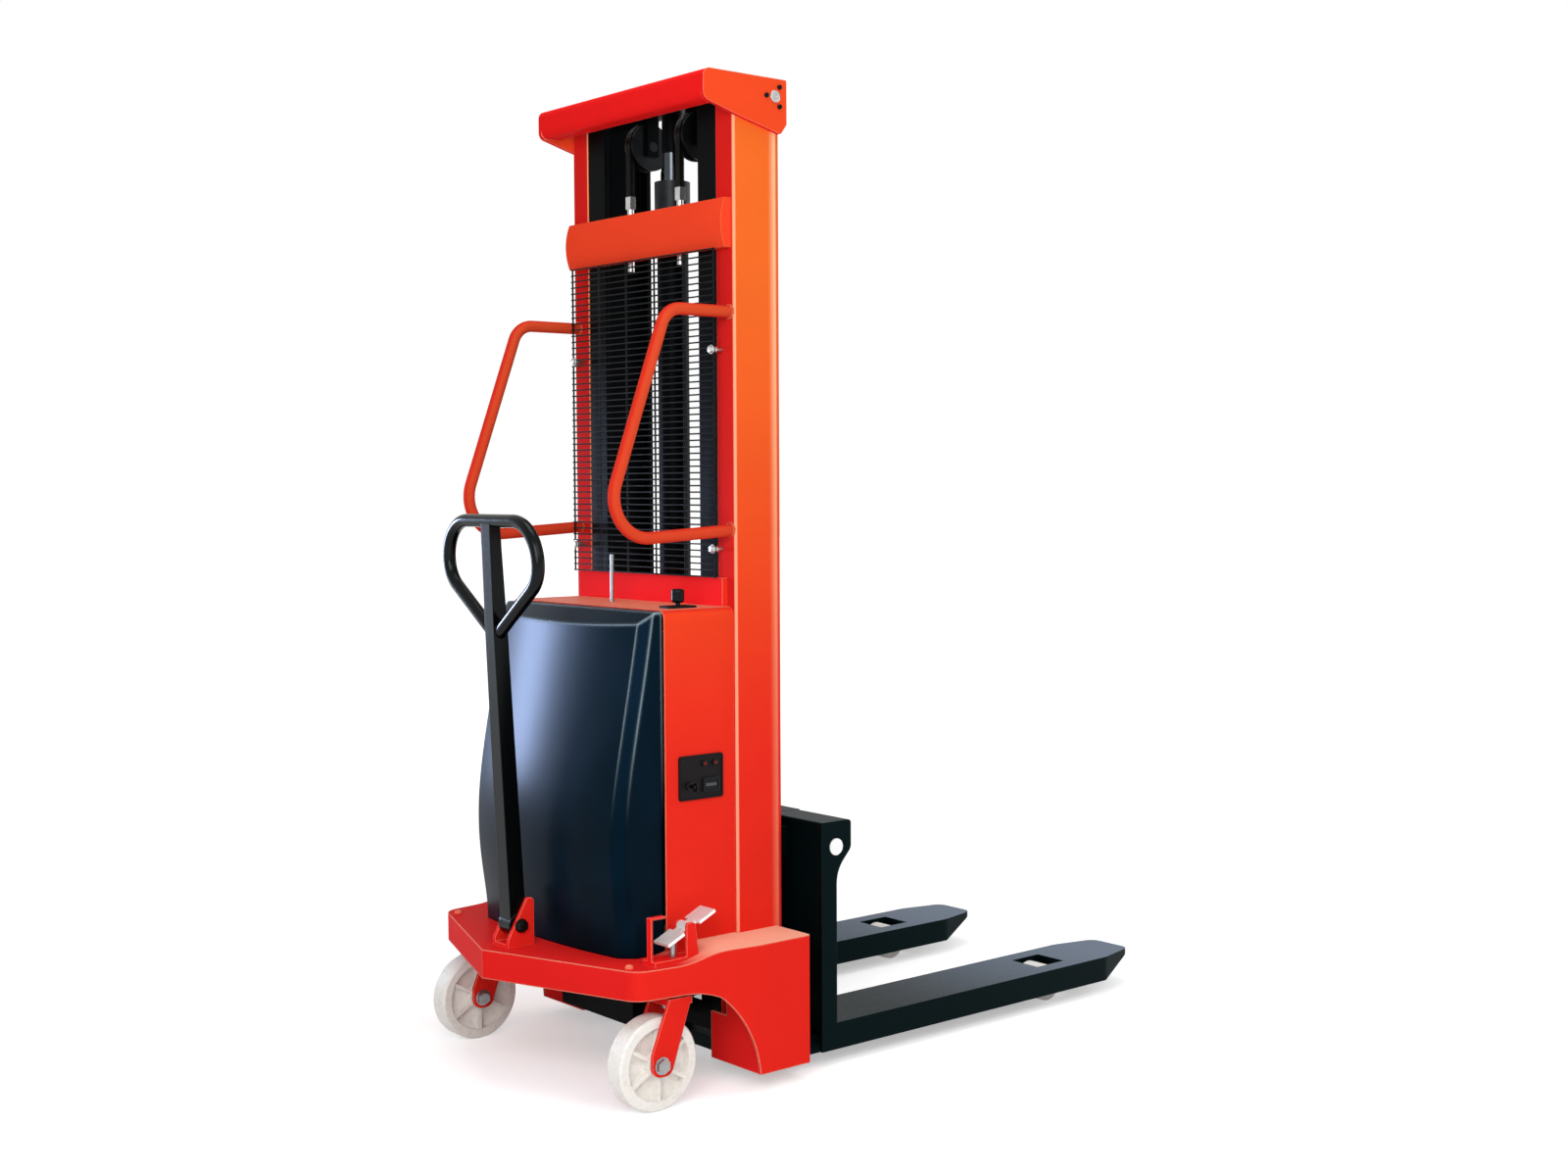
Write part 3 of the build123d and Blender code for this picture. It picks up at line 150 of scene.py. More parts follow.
def per_metre(size_mm):
    # A noise scale whose blotches are about this many millimetres across.
    return 1000 / size_mm


def edge_share(material, rounded, most):
    # How far a spot lies into an edge that its normal rounds over.
    flat = add_node(material, "NewGeometry")["True Normal"]
    turn = add_node(material, "VectorMath", {0: rounded, 1: flat}, operation="DOT_PRODUCT")["Value"]
    return add_node(material, "MapRange", {"Value": turn, "From Min": 0.985, "From Max": 0.86,
                                           "To Max": most})["Result"]


def bend_highlight_share(material, facing, outward, spot, rise, bend):
    # Where the painted highlight along an upright bend of the sheet lies: by its normal, and on the
    # last of the flat before the front bend also by its place, more so high up. The front bend
    # itself keeps its colour.
    turned = add_node(material, "Math", {0: outward["X"], 1: outward["Y"]},
                      operation="MULTIPLY")["Value"]
    corner = add_node(material, "MapRange",
                      {"Value": turned, "From Min": 0.06, "From Max": 0.40, "To Max": 0.5},
                      interpolation_type="SMOOTHSTEP")["Result"]
    start, end = bend
    ahead = add_node(material, "MapRange",
                     {"Value": spot["Y"], "From Min": start, "From Max": end},
                     interpolation_type="SMOOTHSTEP")["Result"]
    aside = add_node(material, "MapRange",
                     {"Value": outward["X"], "From Min": 0.55, "From Max": 0.9})["Result"]
    drawn = add_node(material, "MapRange",
                     {"Value": rise, "To Min": 0.3, "To Max": 0.95})["Result"]
    beside = add_node(material, "Math", {0: ahead, 1: aside}, operation="MULTIPLY")["Value"]
    front = add_node(material, "Math", {0: beside, 1: drawn}, operation="MULTIPLY")["Value"]
    either = add_node(material, "Math", {0: corner, 1: front}, operation="MAXIMUM")["Value"]
    ways = add_node(material, "SeparateXYZ", {"Vector": facing})
    open_share = add_node(material, "MapRange",
                          {"Value": ways["Y"], "From Min": 0.08, "From Max": 0.25,
                           "To Min": 1.0, "To Max": 0.0})["Result"]
    return add_node(material, "Math", {0: either, 1: open_share}, operation="MULTIPLY")["Value"]


def top_sheen_share(material, outward, spot, top):
    # How much painted sheen a spot on a level top gets: by where it lies between two places along
    # the object, up to a most.
    start, end, most = top
    level = add_node(material, "MapRange",
                     {"Value": outward["Z"], "From Min": 0.85, "From Max": 0.98})["Result"]
    ahead = add_node(material, "MapRange",
                     {"Value": spot["Y"], "From Min": start, "From Max": end, "To Max": most},
                     interpolation_type="SMOOTHSTEP")["Result"]
    return add_node(material, "Math", {0: level, 1: ahead}, operation="MULTIPLY")["Value"]


def enamel(name, plain, lit_side_low, lit_side_high, edge, edge_mm=2.2, bend=None, top=None):
    # Stove enamel sprayed on sheet steel: slight orange peel; orange on the sides that face out,
    # more so high up, as painted warm light; pale along sharp edges and bends as a painted
    # highlight; and paler on level tops as a painted sheen.
    material, place = start_material(name)
    facing = add_node(material, "TexCoord")["Normal"]
    absolute = add_node(material, "VectorMath", {0: facing}, operation="ABSOLUTE")["Vector"]
    outward = add_node(material, "SeparateXYZ", {"Vector": absolute})
    spot = add_node(material, "SeparateXYZ", {"Vector": place})
    # Orange on faces that look out sideways, more so high up: painted warm light.
    side = add_node(material, "MapRange",
                    {"Value": outward["X"], "From Min": 0.35, "From Max": 0.95},
                    interpolation_type="SMOOTHSTEP")["Result"]
    rise = add_node(material, "MapRange",
                    {"Value": spot["Z"], "From Min": 0.55, "From Max": 1.75},
                    interpolation_type="SMOOTHSTEP")["Result"]
    painted_side_light = add_node(material, "Mix",
                     {"Factor": rise, FIRST: linear(lit_side_low), SECOND: linear(lit_side_high)},
                     data_type="RGBA")[MIXED]
    paint_and_side_light = add_node(material, "Mix", {"Factor": side, FIRST: linear(plain), SECOND: painted_side_light},
                       data_type="RGBA")[MIXED]
    blotch = add_node(material, "TexNoise",
                      {"Vector": place, "Scale": per_metre(160), "Detail": 3.0})["Fac"]
    depth = add_node(material, "MapRange",
                     {"Value": blotch, "To Min": 0.93, "To Max": 1.05})["Result"]
    toned = add_node(material, "HueSaturation", {"Color": paint_and_side_light, "Value": depth})["Color"]
    rounded = add_node(material, "Bevel", {"Radius": edge_mm * MM}, samples=EDGE_SAMPLES)["Normal"]
    # Pale along sharp edges and, where asked, bends, in the edge colour: a painted highlight.
    highlight_share = edge_share(material, rounded, most=0.65)
    if bend:
        drawn = bend_highlight_share(material, facing, outward, spot, rise, bend)
        highlight_share = add_node(material, "Math", {0: highlight_share, 1: drawn}, operation="MAXIMUM")["Value"]
    # Paler on level tops between two places: a painted sheen.
    if top:
        level_top_sheen = top_sheen_share(material, outward, spot, top)
        highlight_share = add_node(material, "Math", {0: highlight_share, 1: level_top_sheen}, operation="MAXIMUM")["Value"]
    colour = add_node(material, "Mix", {"Factor": highlight_share, FIRST: toned, SECOND: linear(edge)},
                      data_type="RGBA")[MIXED]
    peel = add_node(material, "TexNoise",
                    {"Vector": place, "Scale": per_metre(5), "Detail": 2.0})["Fac"]
    gloss = add_node(material, "MapRange",
                     {"Value": blotch, "To Min": 0.36, "To Max": 0.46})["Result"]
    bump = add_node(material, "Bump", {"Height": peel, "Strength": 0.05, "Distance": 0.4 * MM,
                                       "Normal": rounded})["Normal"]
    return end_material(material, {
        "Base Color": colour, "Roughness": gloss, "Normal": bump, "IOR": 1.5,
        "Specular IOR Level": 0.005,
    })


def dark_paint(name, colour, worn, rough, grain_mm, shine, tint=COOL_SHEEN, top_reflection=None):
    # Black stove enamel on rolled steel: faint mill ripple, rubbed paler along its edges, and
    # paler blue-grey on a fork's top towards the tip, a painted reflection.
    material, place = start_material(name)
    blotch = add_node(material, "TexNoise",
                      {"Vector": place, "Scale": per_metre(120), "Detail": 4.0})["Fac"]
    grain = add_node(material, "TexNoise",
                     {"Vector": place, "Scale": per_metre(grain_mm), "Detail": 3.0})["Fac"]
    depth = add_node(material, "MapRange",
                     {"Value": blotch, "To Min": 0.8, "To Max": 1.25})["Result"]
    toned = add_node(material, "HueSaturation",
                     {"Color": linear(colour), "Value": depth})["Color"]
    rounded = add_node(material, "Bevel", {"Radius": 2.0 * MM}, samples=EDGE_SAMPLES)["Normal"]
    bared = edge_share(material, rounded, most=0.5)
    tone = add_node(material, "Mix", {"Factor": bared, FIRST: toned, SECOND: linear(worn)},
                    data_type="RGBA")[MIXED]
    # Paler blue-grey on a fork's top towards its tip: a painted reflection.
    if top_reflection:
        facing = add_node(material, "TexCoord")["Normal"]
        outward = add_node(material, "SeparateXYZ", {"Vector": facing})
        spot = add_node(material, "SeparateXYZ", {"Vector": place})
        reflected_top = top_sheen_share(material, outward, spot, top_reflection)
        tone = add_node(material, "Mix",
                        {"Factor": reflected_top, FIRST: tone, SECOND: linear("#707F93")},
                        data_type="RGBA")[MIXED]
    smooth, coarse = rough
    gloss = add_node(material, "MapRange",
                     {"Value": grain, "To Min": smooth, "To Max": coarse})["Result"]
    bump = add_node(material, "Bump", {"Height": grain, "Strength": 0.06, "Distance": 0.5 * MM,
                                       "Normal": rounded})["Normal"]
    return end_material(material, {
        "Base Color": tone, "Roughness": gloss, "Normal": bump, "IOR": 1.5,
        "Specular IOR Level": shine, "Specular Tint": linear(tint),
    })


def formed_abs():
    # Vacuum-formed ABS hood: blue-black high up and black low down, a painted reflection; slightly
    # crowned across its width and wavy like any formed sheet; paler along the upper creases, a
    # painted highlight.
    material, place = start_material("formed_abs_hood")
    wave = add_node(material, "TexNoise",
                    {"Vector": place, "Scale": per_metre(90), "Detail": 1.0})["Fac"]
    grain = add_node(material, "TexNoise",
                     {"Vector": place, "Scale": per_metre(3), "Detail": 2.0})["Fac"]
    spot = add_node(material, "SeparateXYZ", {"Vector": place})
    # Bluer higher up: a painted reflection.
    sheen_height = add_node(material, "MapRange",
                      {"Value": spot["Z"], "From Min": 0.40, "From Max": 0.85},
                      interpolation_type="SMOOTHSTEP")["Result"]
    sheen_by_height = add_node(material, "Mix",
                    {"Factor": sheen_height, FIRST: linear("#02080B"), SECOND: linear("#03141D")},
                    data_type="RGBA")[MIXED]
    formed = add_node(material, "Mix", {"Factor": wave, FIRST: sheen_by_height, SECOND: linear("#051824")},
                      data_type="RGBA")[MIXED]
    rounded = add_node(material, "Bevel", {"Radius": 9 * MM}, samples=EDGE_SAMPLES)["Normal"]
    crease = edge_share(material, rounded, most=0.9)
    # Paler along the upper creases: a painted highlight.
    upper = add_node(material, "MapRange",
                     {"Value": spot["Z"], "From Min": 0.52, "From Max": 0.76},
                     interpolation_type="SMOOTHSTEP")["Result"]
    crease_highlight = add_node(material, "Math", {0: crease, 1: upper}, operation="MULTIPLY")["Value"]
    tone = add_node(material, "Mix",
                    {"Factor": crease_highlight, FIRST: formed, SECOND: linear("#B4CBD6")},
                    data_type="RGBA")[MIXED]
    gloss = add_node(material, "MapRange",
                     {"Value": grain, "To Min": 0.28, "To Max": 0.34})["Result"]
    sag_per_metre = -0.26
    square = add_node(material, "Math", {0: spot["X"], 1: spot["X"]},
                      operation="MULTIPLY")["Value"]
    crown = add_node(material, "Math", {0: square, 1: sag_per_metre},
                     operation="MULTIPLY")["Value"]
    bowed = add_node(material, "Bump", {"Height": crown, "Strength": 1.0, "Distance": 1.0,
                                        "Normal": rounded})["Normal"]
    bump = add_node(material, "Bump", {"Height": wave, "Strength": 0.10, "Distance": 1.5 * MM,
                                       "Normal": bowed})["Normal"]
    return end_material(material, {
        "Base Color": tone, "Roughness": gloss, "Normal": bump, "IOR": 1.53,
        "Specular IOR Level": 0.05, "Specular Tint": linear("#78AEFF"),
    })


def cast_nylon():
    # Cast nylon: ivory white, a little waxy, faintly greyer where it has been scuffed.
    material, place = start_material("cast_nylon")
    scuff = add_node(material, "TexNoise",
                     {"Vector": place, "Scale": per_metre(9), "Detail": 5.0})["Fac"]
    worn = add_node(material, "MapRange",
                    {"Value": scuff, "From Min": 0.5, "From Max": 0.8})["Result"]
    tone = add_node(material, "Mix",
                    {"Factor": worn, FIRST: linear("#ECE9E3"), SECOND: linear("#DBD7CD")},
                    data_type="RGBA")[MIXED]
    gloss = add_node(material, "MapRange",
                     {"Value": scuff, "To Min": 0.36, "To Max": 0.52})["Result"]
    rounded = add_node(material, "Bevel", {"Radius": 1.5 * MM}, samples=EDGE_SAMPLES)["Normal"]
    bump = add_node(material, "Bump", {"Height": scuff, "Strength": 0.06, "Distance": 0.4 * MM,
                                       "Normal": rounded})["Normal"]
    return end_material(material, {
        "Base Color": tone, "Roughness": gloss, "Normal": bump, "IOR": 1.53,
        "Subsurface Weight": 0.12, "Subsurface Radius": (0.01, 0.008, 0.005),
    })


def bare_metal(name, colour, dull, rough, grain_mm, stretch=(1, 1, 1)):
    # Plain, plated or oiled steel: drawn along one way by its making, duller in patches. The
    # grain is coarser than on real steel, so that it shows.
    material, place = start_material(name)
    drawn = add_node(material, "Mapping", {"Vector": place, "Scale": stretch})["Vector"]
    grain = add_node(material, "TexNoise",
                     {"Vector": drawn, "Scale": per_metre(grain_mm), "Detail": 4.0})["Fac"]
    patch = add_node(material, "TexNoise",
                     {"Vector": place, "Scale": per_metre(18), "Detail": 2.0})["Fac"]
    tone = add_node(material, "Mix",
                    {"Factor": patch, FIRST: linear(colour), SECOND: linear(dull)},
                    data_type="RGBA")[MIXED]
    smooth, coarse = rough
    gloss = add_node(material, "MapRange",
                     {"Value": grain, "To Min": smooth, "To Max": coarse})["Result"]
    rounded = add_node(material, "Bevel", {"Radius": 0.6 * MM}, samples=EDGE_SAMPLES)["Normal"]
    bump = add_node(material, "Bump", {"Height": grain, "Strength": 0.08, "Distance": 0.2 * MM,
                                       "Normal": rounded})["Normal"]
    return end_material(material, {
        "Base Color": tone, "Metallic": 1.0, "Roughness": gloss, "Normal": bump,
    })


def moulded_plastic(name, colour, light, rough):
    # Injection-moulded plastic with a spark-eroded grain, drawn coarser than the real one, so
    # that it shows.
    material, place = start_material(name)
    grain = add_node(material, "TexNoise",
                     {"Vector": place, "Scale": per_metre(2), "Detail": 2.0})["Fac"]
    tone = add_node(material, "Mix",
                    {"Factor": grain, FIRST: linear(colour), SECOND: linear(light)},
                    data_type="RGBA")[MIXED]
    gloss = add_node(material, "MapRange",
                     {"Value": grain, "To Min": rough, "To Max": rough + 0.12})["Result"]
    bump = add_node(material, "Bump",
                    {"Height": grain, "Strength": 0.15, "Distance": 0.2 * MM})["Normal"]
    return end_material(material, {
        "Base Color": tone, "Roughness": gloss, "Normal": bump, "IOR": 1.53,
        "Specular IOR Level": 0.10,
    })


fork_low, fork_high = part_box("fork_right")

# Each enamel's edge colour is a painted highlight on its edges and bends; its lit side colours are
# painted warm light.
RED = enamel("red_enamel", plain="#EE1E1E", lit_side_low="#E3281F", lit_side_high="#EA4A24",
             edge="#F9B9A0")
BASE_RED = enamel("base_enamel", plain="#DE2220", lit_side_low="#E3281F", lit_side_high="#EA4A24",
                  edge="#FFC8AA", edge_mm=4.5, top=LEG_BOX_TOP_HIGHLIGHT)
HANDLE_RED = enamel("handle_enamel", plain="#CE301F", lit_side_low="#CE3C24", lit_side_high="#CE4A2A",
                    edge="#F9C6A2")
COLUMN_RED = enamel("column_enamel", plain="#D8221F", lit_side_low="#E52C20", lit_side_high="#EC6A28",
                    edge="#FFD4A8", bend=COLUMN_BEND_HIGHLIGHT, top=HOUSING_TOP_HIGHLIGHT)
# The deck bolts' pale enamel is a painted highlight.
BOLT_RED_HIGHLIGHT = enamel("worn_enamel", plain="#EE7A5A", lit_side_low="#EE7A5A", lit_side_high="#EE7A5A",
                  edge="#FFD0B4")
# The mid beam's enamel is a lighter, oranger copy of the red: a painted highlight.
BEAM_RED_LIT = enamel("beam_enamel", plain="#F04628", lit_side_low="#F04628", lit_side_high="#F04628",
                  edge="#F58A5C")
FORK_BLACK = dark_paint("fork_enamel", "#030B0D", worn="#2C373D", rough=(0.34, 0.48),
                        grain_mm=6, shine=0.05, tint="#44DCE6",
                        top_reflection=(fork_low[1] + FORK_REFLECTION_START, fork_high[1], FORK_REFLECTION_MOST))
MAST_BLACK = dark_paint("mast_black", "#040506", worn="#12171A", rough=(0.36, 0.48),
                        grain_mm=4, shine=0.03)
TILLER_BLACK = dark_paint("tiller_enamel", "#020303", worn="#0C0F10", rough=(0.15, 0.22),
                          grain_mm=3, shine=0.18)
WIRE_BLACK = dark_paint("wire_enamel", "#08090A", worn="#15181A", rough=(0.40, 0.50),
                        grain_mm=2, shine=0.10)
HOOD = formed_abs()
NYLON = cast_nylon()
STEEL = bare_metal("turned_steel", "#A9ABAC", dull="#85888B", rough=(0.26, 0.42), grain_mm=1.5)
BLACKENED = bare_metal("oil_blackened_steel", "#2B2C2E", dull="#1A1B1C", rough=(0.35, 0.50),
                       grain_mm=2)
ZINC = bare_metal("zinc_plate", "#CFCDC9", dull="#A9ABAC", rough=(0.24, 0.42), grain_mm=3)
GALVANISED = bare_metal("galvanised_steel", "#F0F0EE", dull="#D6D7D7", rough=(0.58, 0.72),
                        grain_mm=3)
CHROME = bare_metal("hard_chrome", "#4A4F53", dull="#3A3F43", rough=(0.14, 0.24), grain_mm=2,
                    stretch=(1, 1, 0.1))
CHAIN = bare_metal("oiled_chain_steel", "#2A2927", dull="#171615", rough=(0.32, 0.50), grain_mm=2)
PANEL = moulded_plastic("panel_abs", "#0B0809", light="#141012", rough=0.40)
CASE = moulded_plastic("case_polypropylene", "#101214", light="#191B1D", rough=0.5)
LENS = moulded_plastic("lamp_lens", "#5E120E", light="#7A1A14", rough=0.12)
RUBBER = moulded_plastic("moulded_rubber", "#0A0A0A", light="#121212", rough=0.55)
GLASS = moulded_plastic("smoked_window", "#0C1012", light="#12181A", rough=0.06)
SCALE_INK = moulded_plastic("printed_scale", "#565A58", light="#626664", rough=0.45)

looks = {
    "chassis": BASE_RED, "head_frame": RED, "mid_beam": BEAM_RED_LIT, "lower_beam": RED,
    "outer_mast_left": COLUMN_RED, "outer_mast_right": COLUMN_RED, "power_housing": COLUMN_RED,
    "grab_handle_left": HANDLE_RED, "grab_handle_right": HANDLE_RED, "tiller_bracket": RED,
    "caster_fork_left": RED, "caster_fork_right": RED, "base_frame": FORK_BLACK,
    "fork_left": FORK_BLACK, "fork_right": FORK_BLACK, "carriage_frame": FORK_BLACK,
    "inner_mast_columns": MAST_BLACK, "crosshead": MAST_BLACK, "lower_tie": MAST_BLACK,
    "mesh_guard": WIRE_BLACK, "lift_cylinder": MAST_BLACK, "battery_tray": MAST_BLACK,
    "pump_motor": MAST_BLACK, "hydraulic_tank": MAST_BLACK, "tiller": TILLER_BLACK,
    "control_lever": TILLER_BLACK, "rear_cover": HOOD, "caster_wheel_left": NYLON,
    "caster_wheel_right": NYLON, "load_roller_left": NYLON, "load_roller_right": NYLON,
    "thrust_adjusters": STEEL, "guard_bolts": ZINC, "cylinder_gland": BLACKENED,
    "chain_anchors": ZINC, "valve_block": STEEL, "pressure_pipe": STEEL,
    "breather_tube": STEEL, "tiller_pin": STEEL, "caster_plates": STEEL,
    "load_roller_axles": STEEL, "sheave_axles": BLACKENED, "chain_sheaves": BLACKENED,
    "top_rollers": BLACKENED, "foot_rollers": BLACKENED, "carriage_rollers_lower": BLACKENED,
    "carriage_rollers_upper": BLACKENED, "fork_shaft": GALVANISED, "key_switch": STEEL,
    "brake_plunger": STEEL, "pedal_bracket": RED, "brake_pedal": GALVANISED, "piston_rod": CHROME,
    "chain_rear_runs": CHAIN, "chain_wraps": CHAIN, "chain_front_runs": CHAIN,
    "control_panel": PANEL, "battery_gauge": PANEL, "battery": CASE, "indicator_lamps": LENS,
}
for name, node in nodes.items():
    node.data.materials.clear()
    node.data.materials.append(looks[name])


def clear_selection():
    if bpy.context.mode != "OBJECT":
        bpy.ops.object.mode_set(mode="OBJECT")
    bpy.ops.object.select_all(action="DESELECT")


def choose(*pieces):
    clear_selection()
    for piece in pieces:
        piece.select_set(True)
    bpy.context.view_layer.objects.active = pieces[0]


def settle(name):
    # Puts a new primitive's place, turn and scale into its mesh.
    piece = bpy.context.active_object
    piece.name = name
    piece.data.name = name
    bpy.ops.object.transform_apply(location=True, rotation=True, scale=True)
    return piece


def start_block(name, low, high):
    clear_selection()
    low, high = Vector(low), Vector(high)
    bpy.ops.mesh.primitive_cube_add(size=1, location=(low + high) / 2, scale=high - low)
    return settle(name)


def start_round(name, foot, top, radius, sides=24):
    clear_selection()
    foot, top = Vector(foot), Vector(top)
    run = top - foot
    bpy.ops.mesh.primitive_cylinder_add(vertices=sides, radius=radius, depth=run.length,
                                        location=(foot + top) / 2,
                                        rotation=run.to_track_quat("Z", "Y").to_euler())
    return settle(name)


def edit(piece, kind, test):
    # Opens a piece with only those faces or edges selected whose middle and normal, or middle
    # and direction, pass the test.
    choose(piece)
    bpy.ops.object.mode_set(mode="EDIT")
    bpy.ops.mesh.select_mode(type=kind)
    bpy.ops.mesh.select_all(action="DESELECT")
    mesh = bmesh.from_edit_mesh(piece.data)
    if kind == "FACE":
        found = [f for f in mesh.faces if test(f.calc_center_median(), f.normal)]
    else:
        found = [e for e in mesh.edges
                 if test((e.verts[0].co + e.verts[1].co) / 2,
                         (e.verts[1].co - e.verts[0].co).normalized())]
    for item in found:
        item.select_set(True)
    bmesh.update_edit_mesh(piece.data)


def round_along(piece, axis, radius, segments):
    # Rounds the edges that run along one axis.
    edit(piece, "EDGE", lambda middle, run: abs(run[axis]) > ALONG)
    bpy.ops.mesh.bevel(offset=radius, segments=segments, affect="EDGES")
    clear_selection()


def chamfer_end(piece, end, way, width=BROKEN_EDGE, segments=2):
    # Breaks the edges of the end that lies at a point and looks one way.
    end, way = Vector(end), Vector(way).normalized()
    edit(piece, "EDGE", lambda middle, run: abs((middle - end).dot(way)) < NEAR
         and abs(run.dot(way)) < ACROSS)
    bpy.ops.mesh.bevel(offset=width, segments=segments, affect="EDGES")
    clear_selection()


def sink_end(piece, end, way, rim, depth):
    # Insets the end face and presses its middle in, or out where the depth is negative.
    end, way = Vector(end), Vector(way).normalized()
    edit(piece, "FACE", lambda middle, normal: normal.dot(way) > ALONG
         and abs((middle - end).dot(way)) < NEAR)
    bpy.ops.mesh.inset(thickness=rim)
    bpy.ops.mesh.extrude_region_move(TRANSFORM_OT_translate={"value": way * -depth})
    clear_selection()


def pierce(piece, axis, rim):
    # Cuts an opening through a plate along one axis, and leaves a rim round it.
    edit(piece, "FACE", lambda middle, normal: abs(normal[axis]) > ALONG)
    bpy.ops.mesh.inset(thickness=rim)
    bpy.ops.mesh.bridge_edge_loops()
    clear_selection()


def repeat(piece, count, step):
    choose(piece)
    rows = piece.modifiers.new("rows", "ARRAY")
    rows.use_relative_offset = False
    rows.use_constant_offset = True
    rows.constant_offset_displace = step
    rows.count = count
    bpy.ops.object.modifier_apply(modifier="rows")
    return piece


def copy_of(piece, change):
    # A copy with its own mesh, put in its place by a matrix.
    twin = piece.copy()
    twin.data = piece.data.copy()
    bpy.context.scene.collection.objects.link(twin)
    twin.data.transform(change)
    if change.determinant() < 0:
        twin.data.flip_normals()
    return twin


def join(first, *others):
    choose(first, *others)
    bpy.ops.object.join()
    return first


def on_both_sides(piece):
    # The piece with its mirror image on the other side of the mast.
    return join(piece, copy_of(piece, Matrix.Scale(-1, 4, OUT)))


def fit(piece, name, body, material, slot, *stands_for):
    # Names and shades a finished piece, gives it its finish and hangs it on its body.
    choose(piece)
    bpy.ops.object.shade_smooth_by_angle(angle=math.radians(SMOOTH_ANGLE))
    piece.name = name
    piece.data.name = name
    piece.data.materials.clear()
    piece.data.materials.append(material)
    if body:
        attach(piece, body)
    if stands_for:
        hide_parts(*stands_for)
    return piece


def hex_head(foot, top, across):
    # A bolt head or nut with its outer corners turned off.
    flats, turned_off = 6, across * 0.07
    head = start_round("head", foot, top, across / 2 / math.cos(math.pi / flats), flats)
    chamfer_end(head, top, Vector(top) - Vector(foot), turned_off)
    return head


def guard_wires():
    # Round wires welded crosswise: thin ones across, thicker ones upright in front of them.
    low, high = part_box("mesh_guard")
    rows, columns, sides = 50, 5, 8
    thick, thin = 2.0 * MM, 1.6 * MM
    upright_y = high[1] - thick
    upright = start_round("upright", (low[0] + thick, upright_y, low[2]),
                          (low[0] + thick, upright_y, high[2]), thick, sides)
    chamfer_end(upright, (0, 0, high[2]), UP, segments=1)
    repeat(upright, columns + 1, ((high[0] - low[0] - 2 * thick) / columns, 0, 0))
    cross_y = upright_y - thick
    cross = start_round("cross", (low[0], cross_y, low[2] + thick),
                        (high[0], cross_y, low[2] + thick), thin, sides)
    chamfer_end(cross, (high[0], 0, 0), OUT, segments=1)
    repeat(cross, rows + 1, (0, 0, (high[2] - low[2] - 2 * thick) / rows))
    fit(join(upright, cross), "guard_wires", "frame", WIRE_BLACK, "black_paint", "mesh_guard")


def guard_bolts():
    # Zinc hex bolts with a washer that clamp the wires' edge, each on its spacer.
    low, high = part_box("guard_bolts")
    across, washer, spacing, thread = 13 * MM, 9 * MM, 7 * MM, 4 * MM
    x, z = high[0] - spacing, high[2] - spacing
    head_top = low[1]
    head_foot, washer_foot = head_top + 4.4 * MM, head_top + 6.2 * MM
    shank_end = head_top + 5 * MM
    spacer_end, spacer_foot = head_top + 10 * MM, head_top + 16 * MM
    shank = start_round("shank", (x, high[1], z), (x, shank_end, z), thread, sides=16)
    chamfer_end(shank, (0, shank_end, 0), BACK)
    spacer = start_round("spacer", (x, spacer_foot, z), (x, spacer_end, z), spacing)
    chamfer_end(spacer, (0, spacer_end, 0), BACK, width=0.6 * MM)
    ring = start_round("ring", (x, washer_foot, z), (x, head_foot, z), washer)
    chamfer_end(ring, (0, head_foot, 0), BACK, width=0.4 * MM)
    head = hex_head((x, head_foot, z), (x, head_top, z), across)
    bolt = join(head, ring, spacer, shank)
    lower = copy_of(bolt, Matrix.Translation((0, 0, low[2] + spacing - z)))
    fit(on_both_sides(join(bolt, lower)), "guard_clamp_bolts", "frame", ZINC, "steel",
        "guard_bolts")


def leaf_link(x, y, low_z, pitch, plates):
    # One link of a leaf chain: a row of plates with round ends.
    first = x - PLATE_GAP * (plates - 1) / 2
    low = (first - PLATE_THICK / 2, y - PLATE_DEEP / 2, low_z - PLATE_DEEP / 2)
    high = (first + PLATE_THICK / 2, y + PLATE_DEEP / 2, low_z + pitch + PLATE_DEEP / 2)
    link = start_block("link", low, high)
    round_along(link, X, radius=PLATE_DEEP * PLATE_ROUND, segments=2)
    return repeat(link, plates, (PLATE_GAP, 0, 0))


def leaf_pin(x, y, z):
    pin = start_round("pin", (x - PIN_HALF, y, z), (x + PIN_HALF, y, z), PIN_RADIUS, sides=8)
    chamfer_end(pin, (x + PIN_HALF, y, z), OUT, width=0.8 * MM, segments=1)
    return pin


def leaf_pair(x, y, low_z, pitch):
    # Two pitches of leaf chain: a wide link, a narrow link and their pins.
    wide = leaf_link(x, y, low_z, pitch, WIDE_PLATES)
    narrow = leaf_link(x, y, low_z + pitch, pitch, NARROW_PLATES)
    return join(wide, narrow, leaf_pin(x, y, low_z), leaf_pin(x, y, low_z + pitch))


def reach_of(name):
    # How far a sliding joint goes from rest.
    return next(joint["range_m"][1] for joint in frame["joints"] if joint["name"] == name)


def front_chains():
    # From the carriage up to the sheaves: the run shortens as the carriage climbs the mast.
    low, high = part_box("chain_front_runs")
    x = high[0] - CHAIN_HALF
    y = (low[1] + high[1]) / 2
    pairs = 45
    pitch = (high[2] - low[2]) / pairs / 2
    run = repeat(leaf_pair(x, y, low[2], pitch), pairs, (0, 0, 2 * pitch))
    run = fit(on_both_sides(run), "leaf_chain_front", "carriage", CHAIN, "chain_steel",
              "chain_front_runs")
    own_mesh(run)


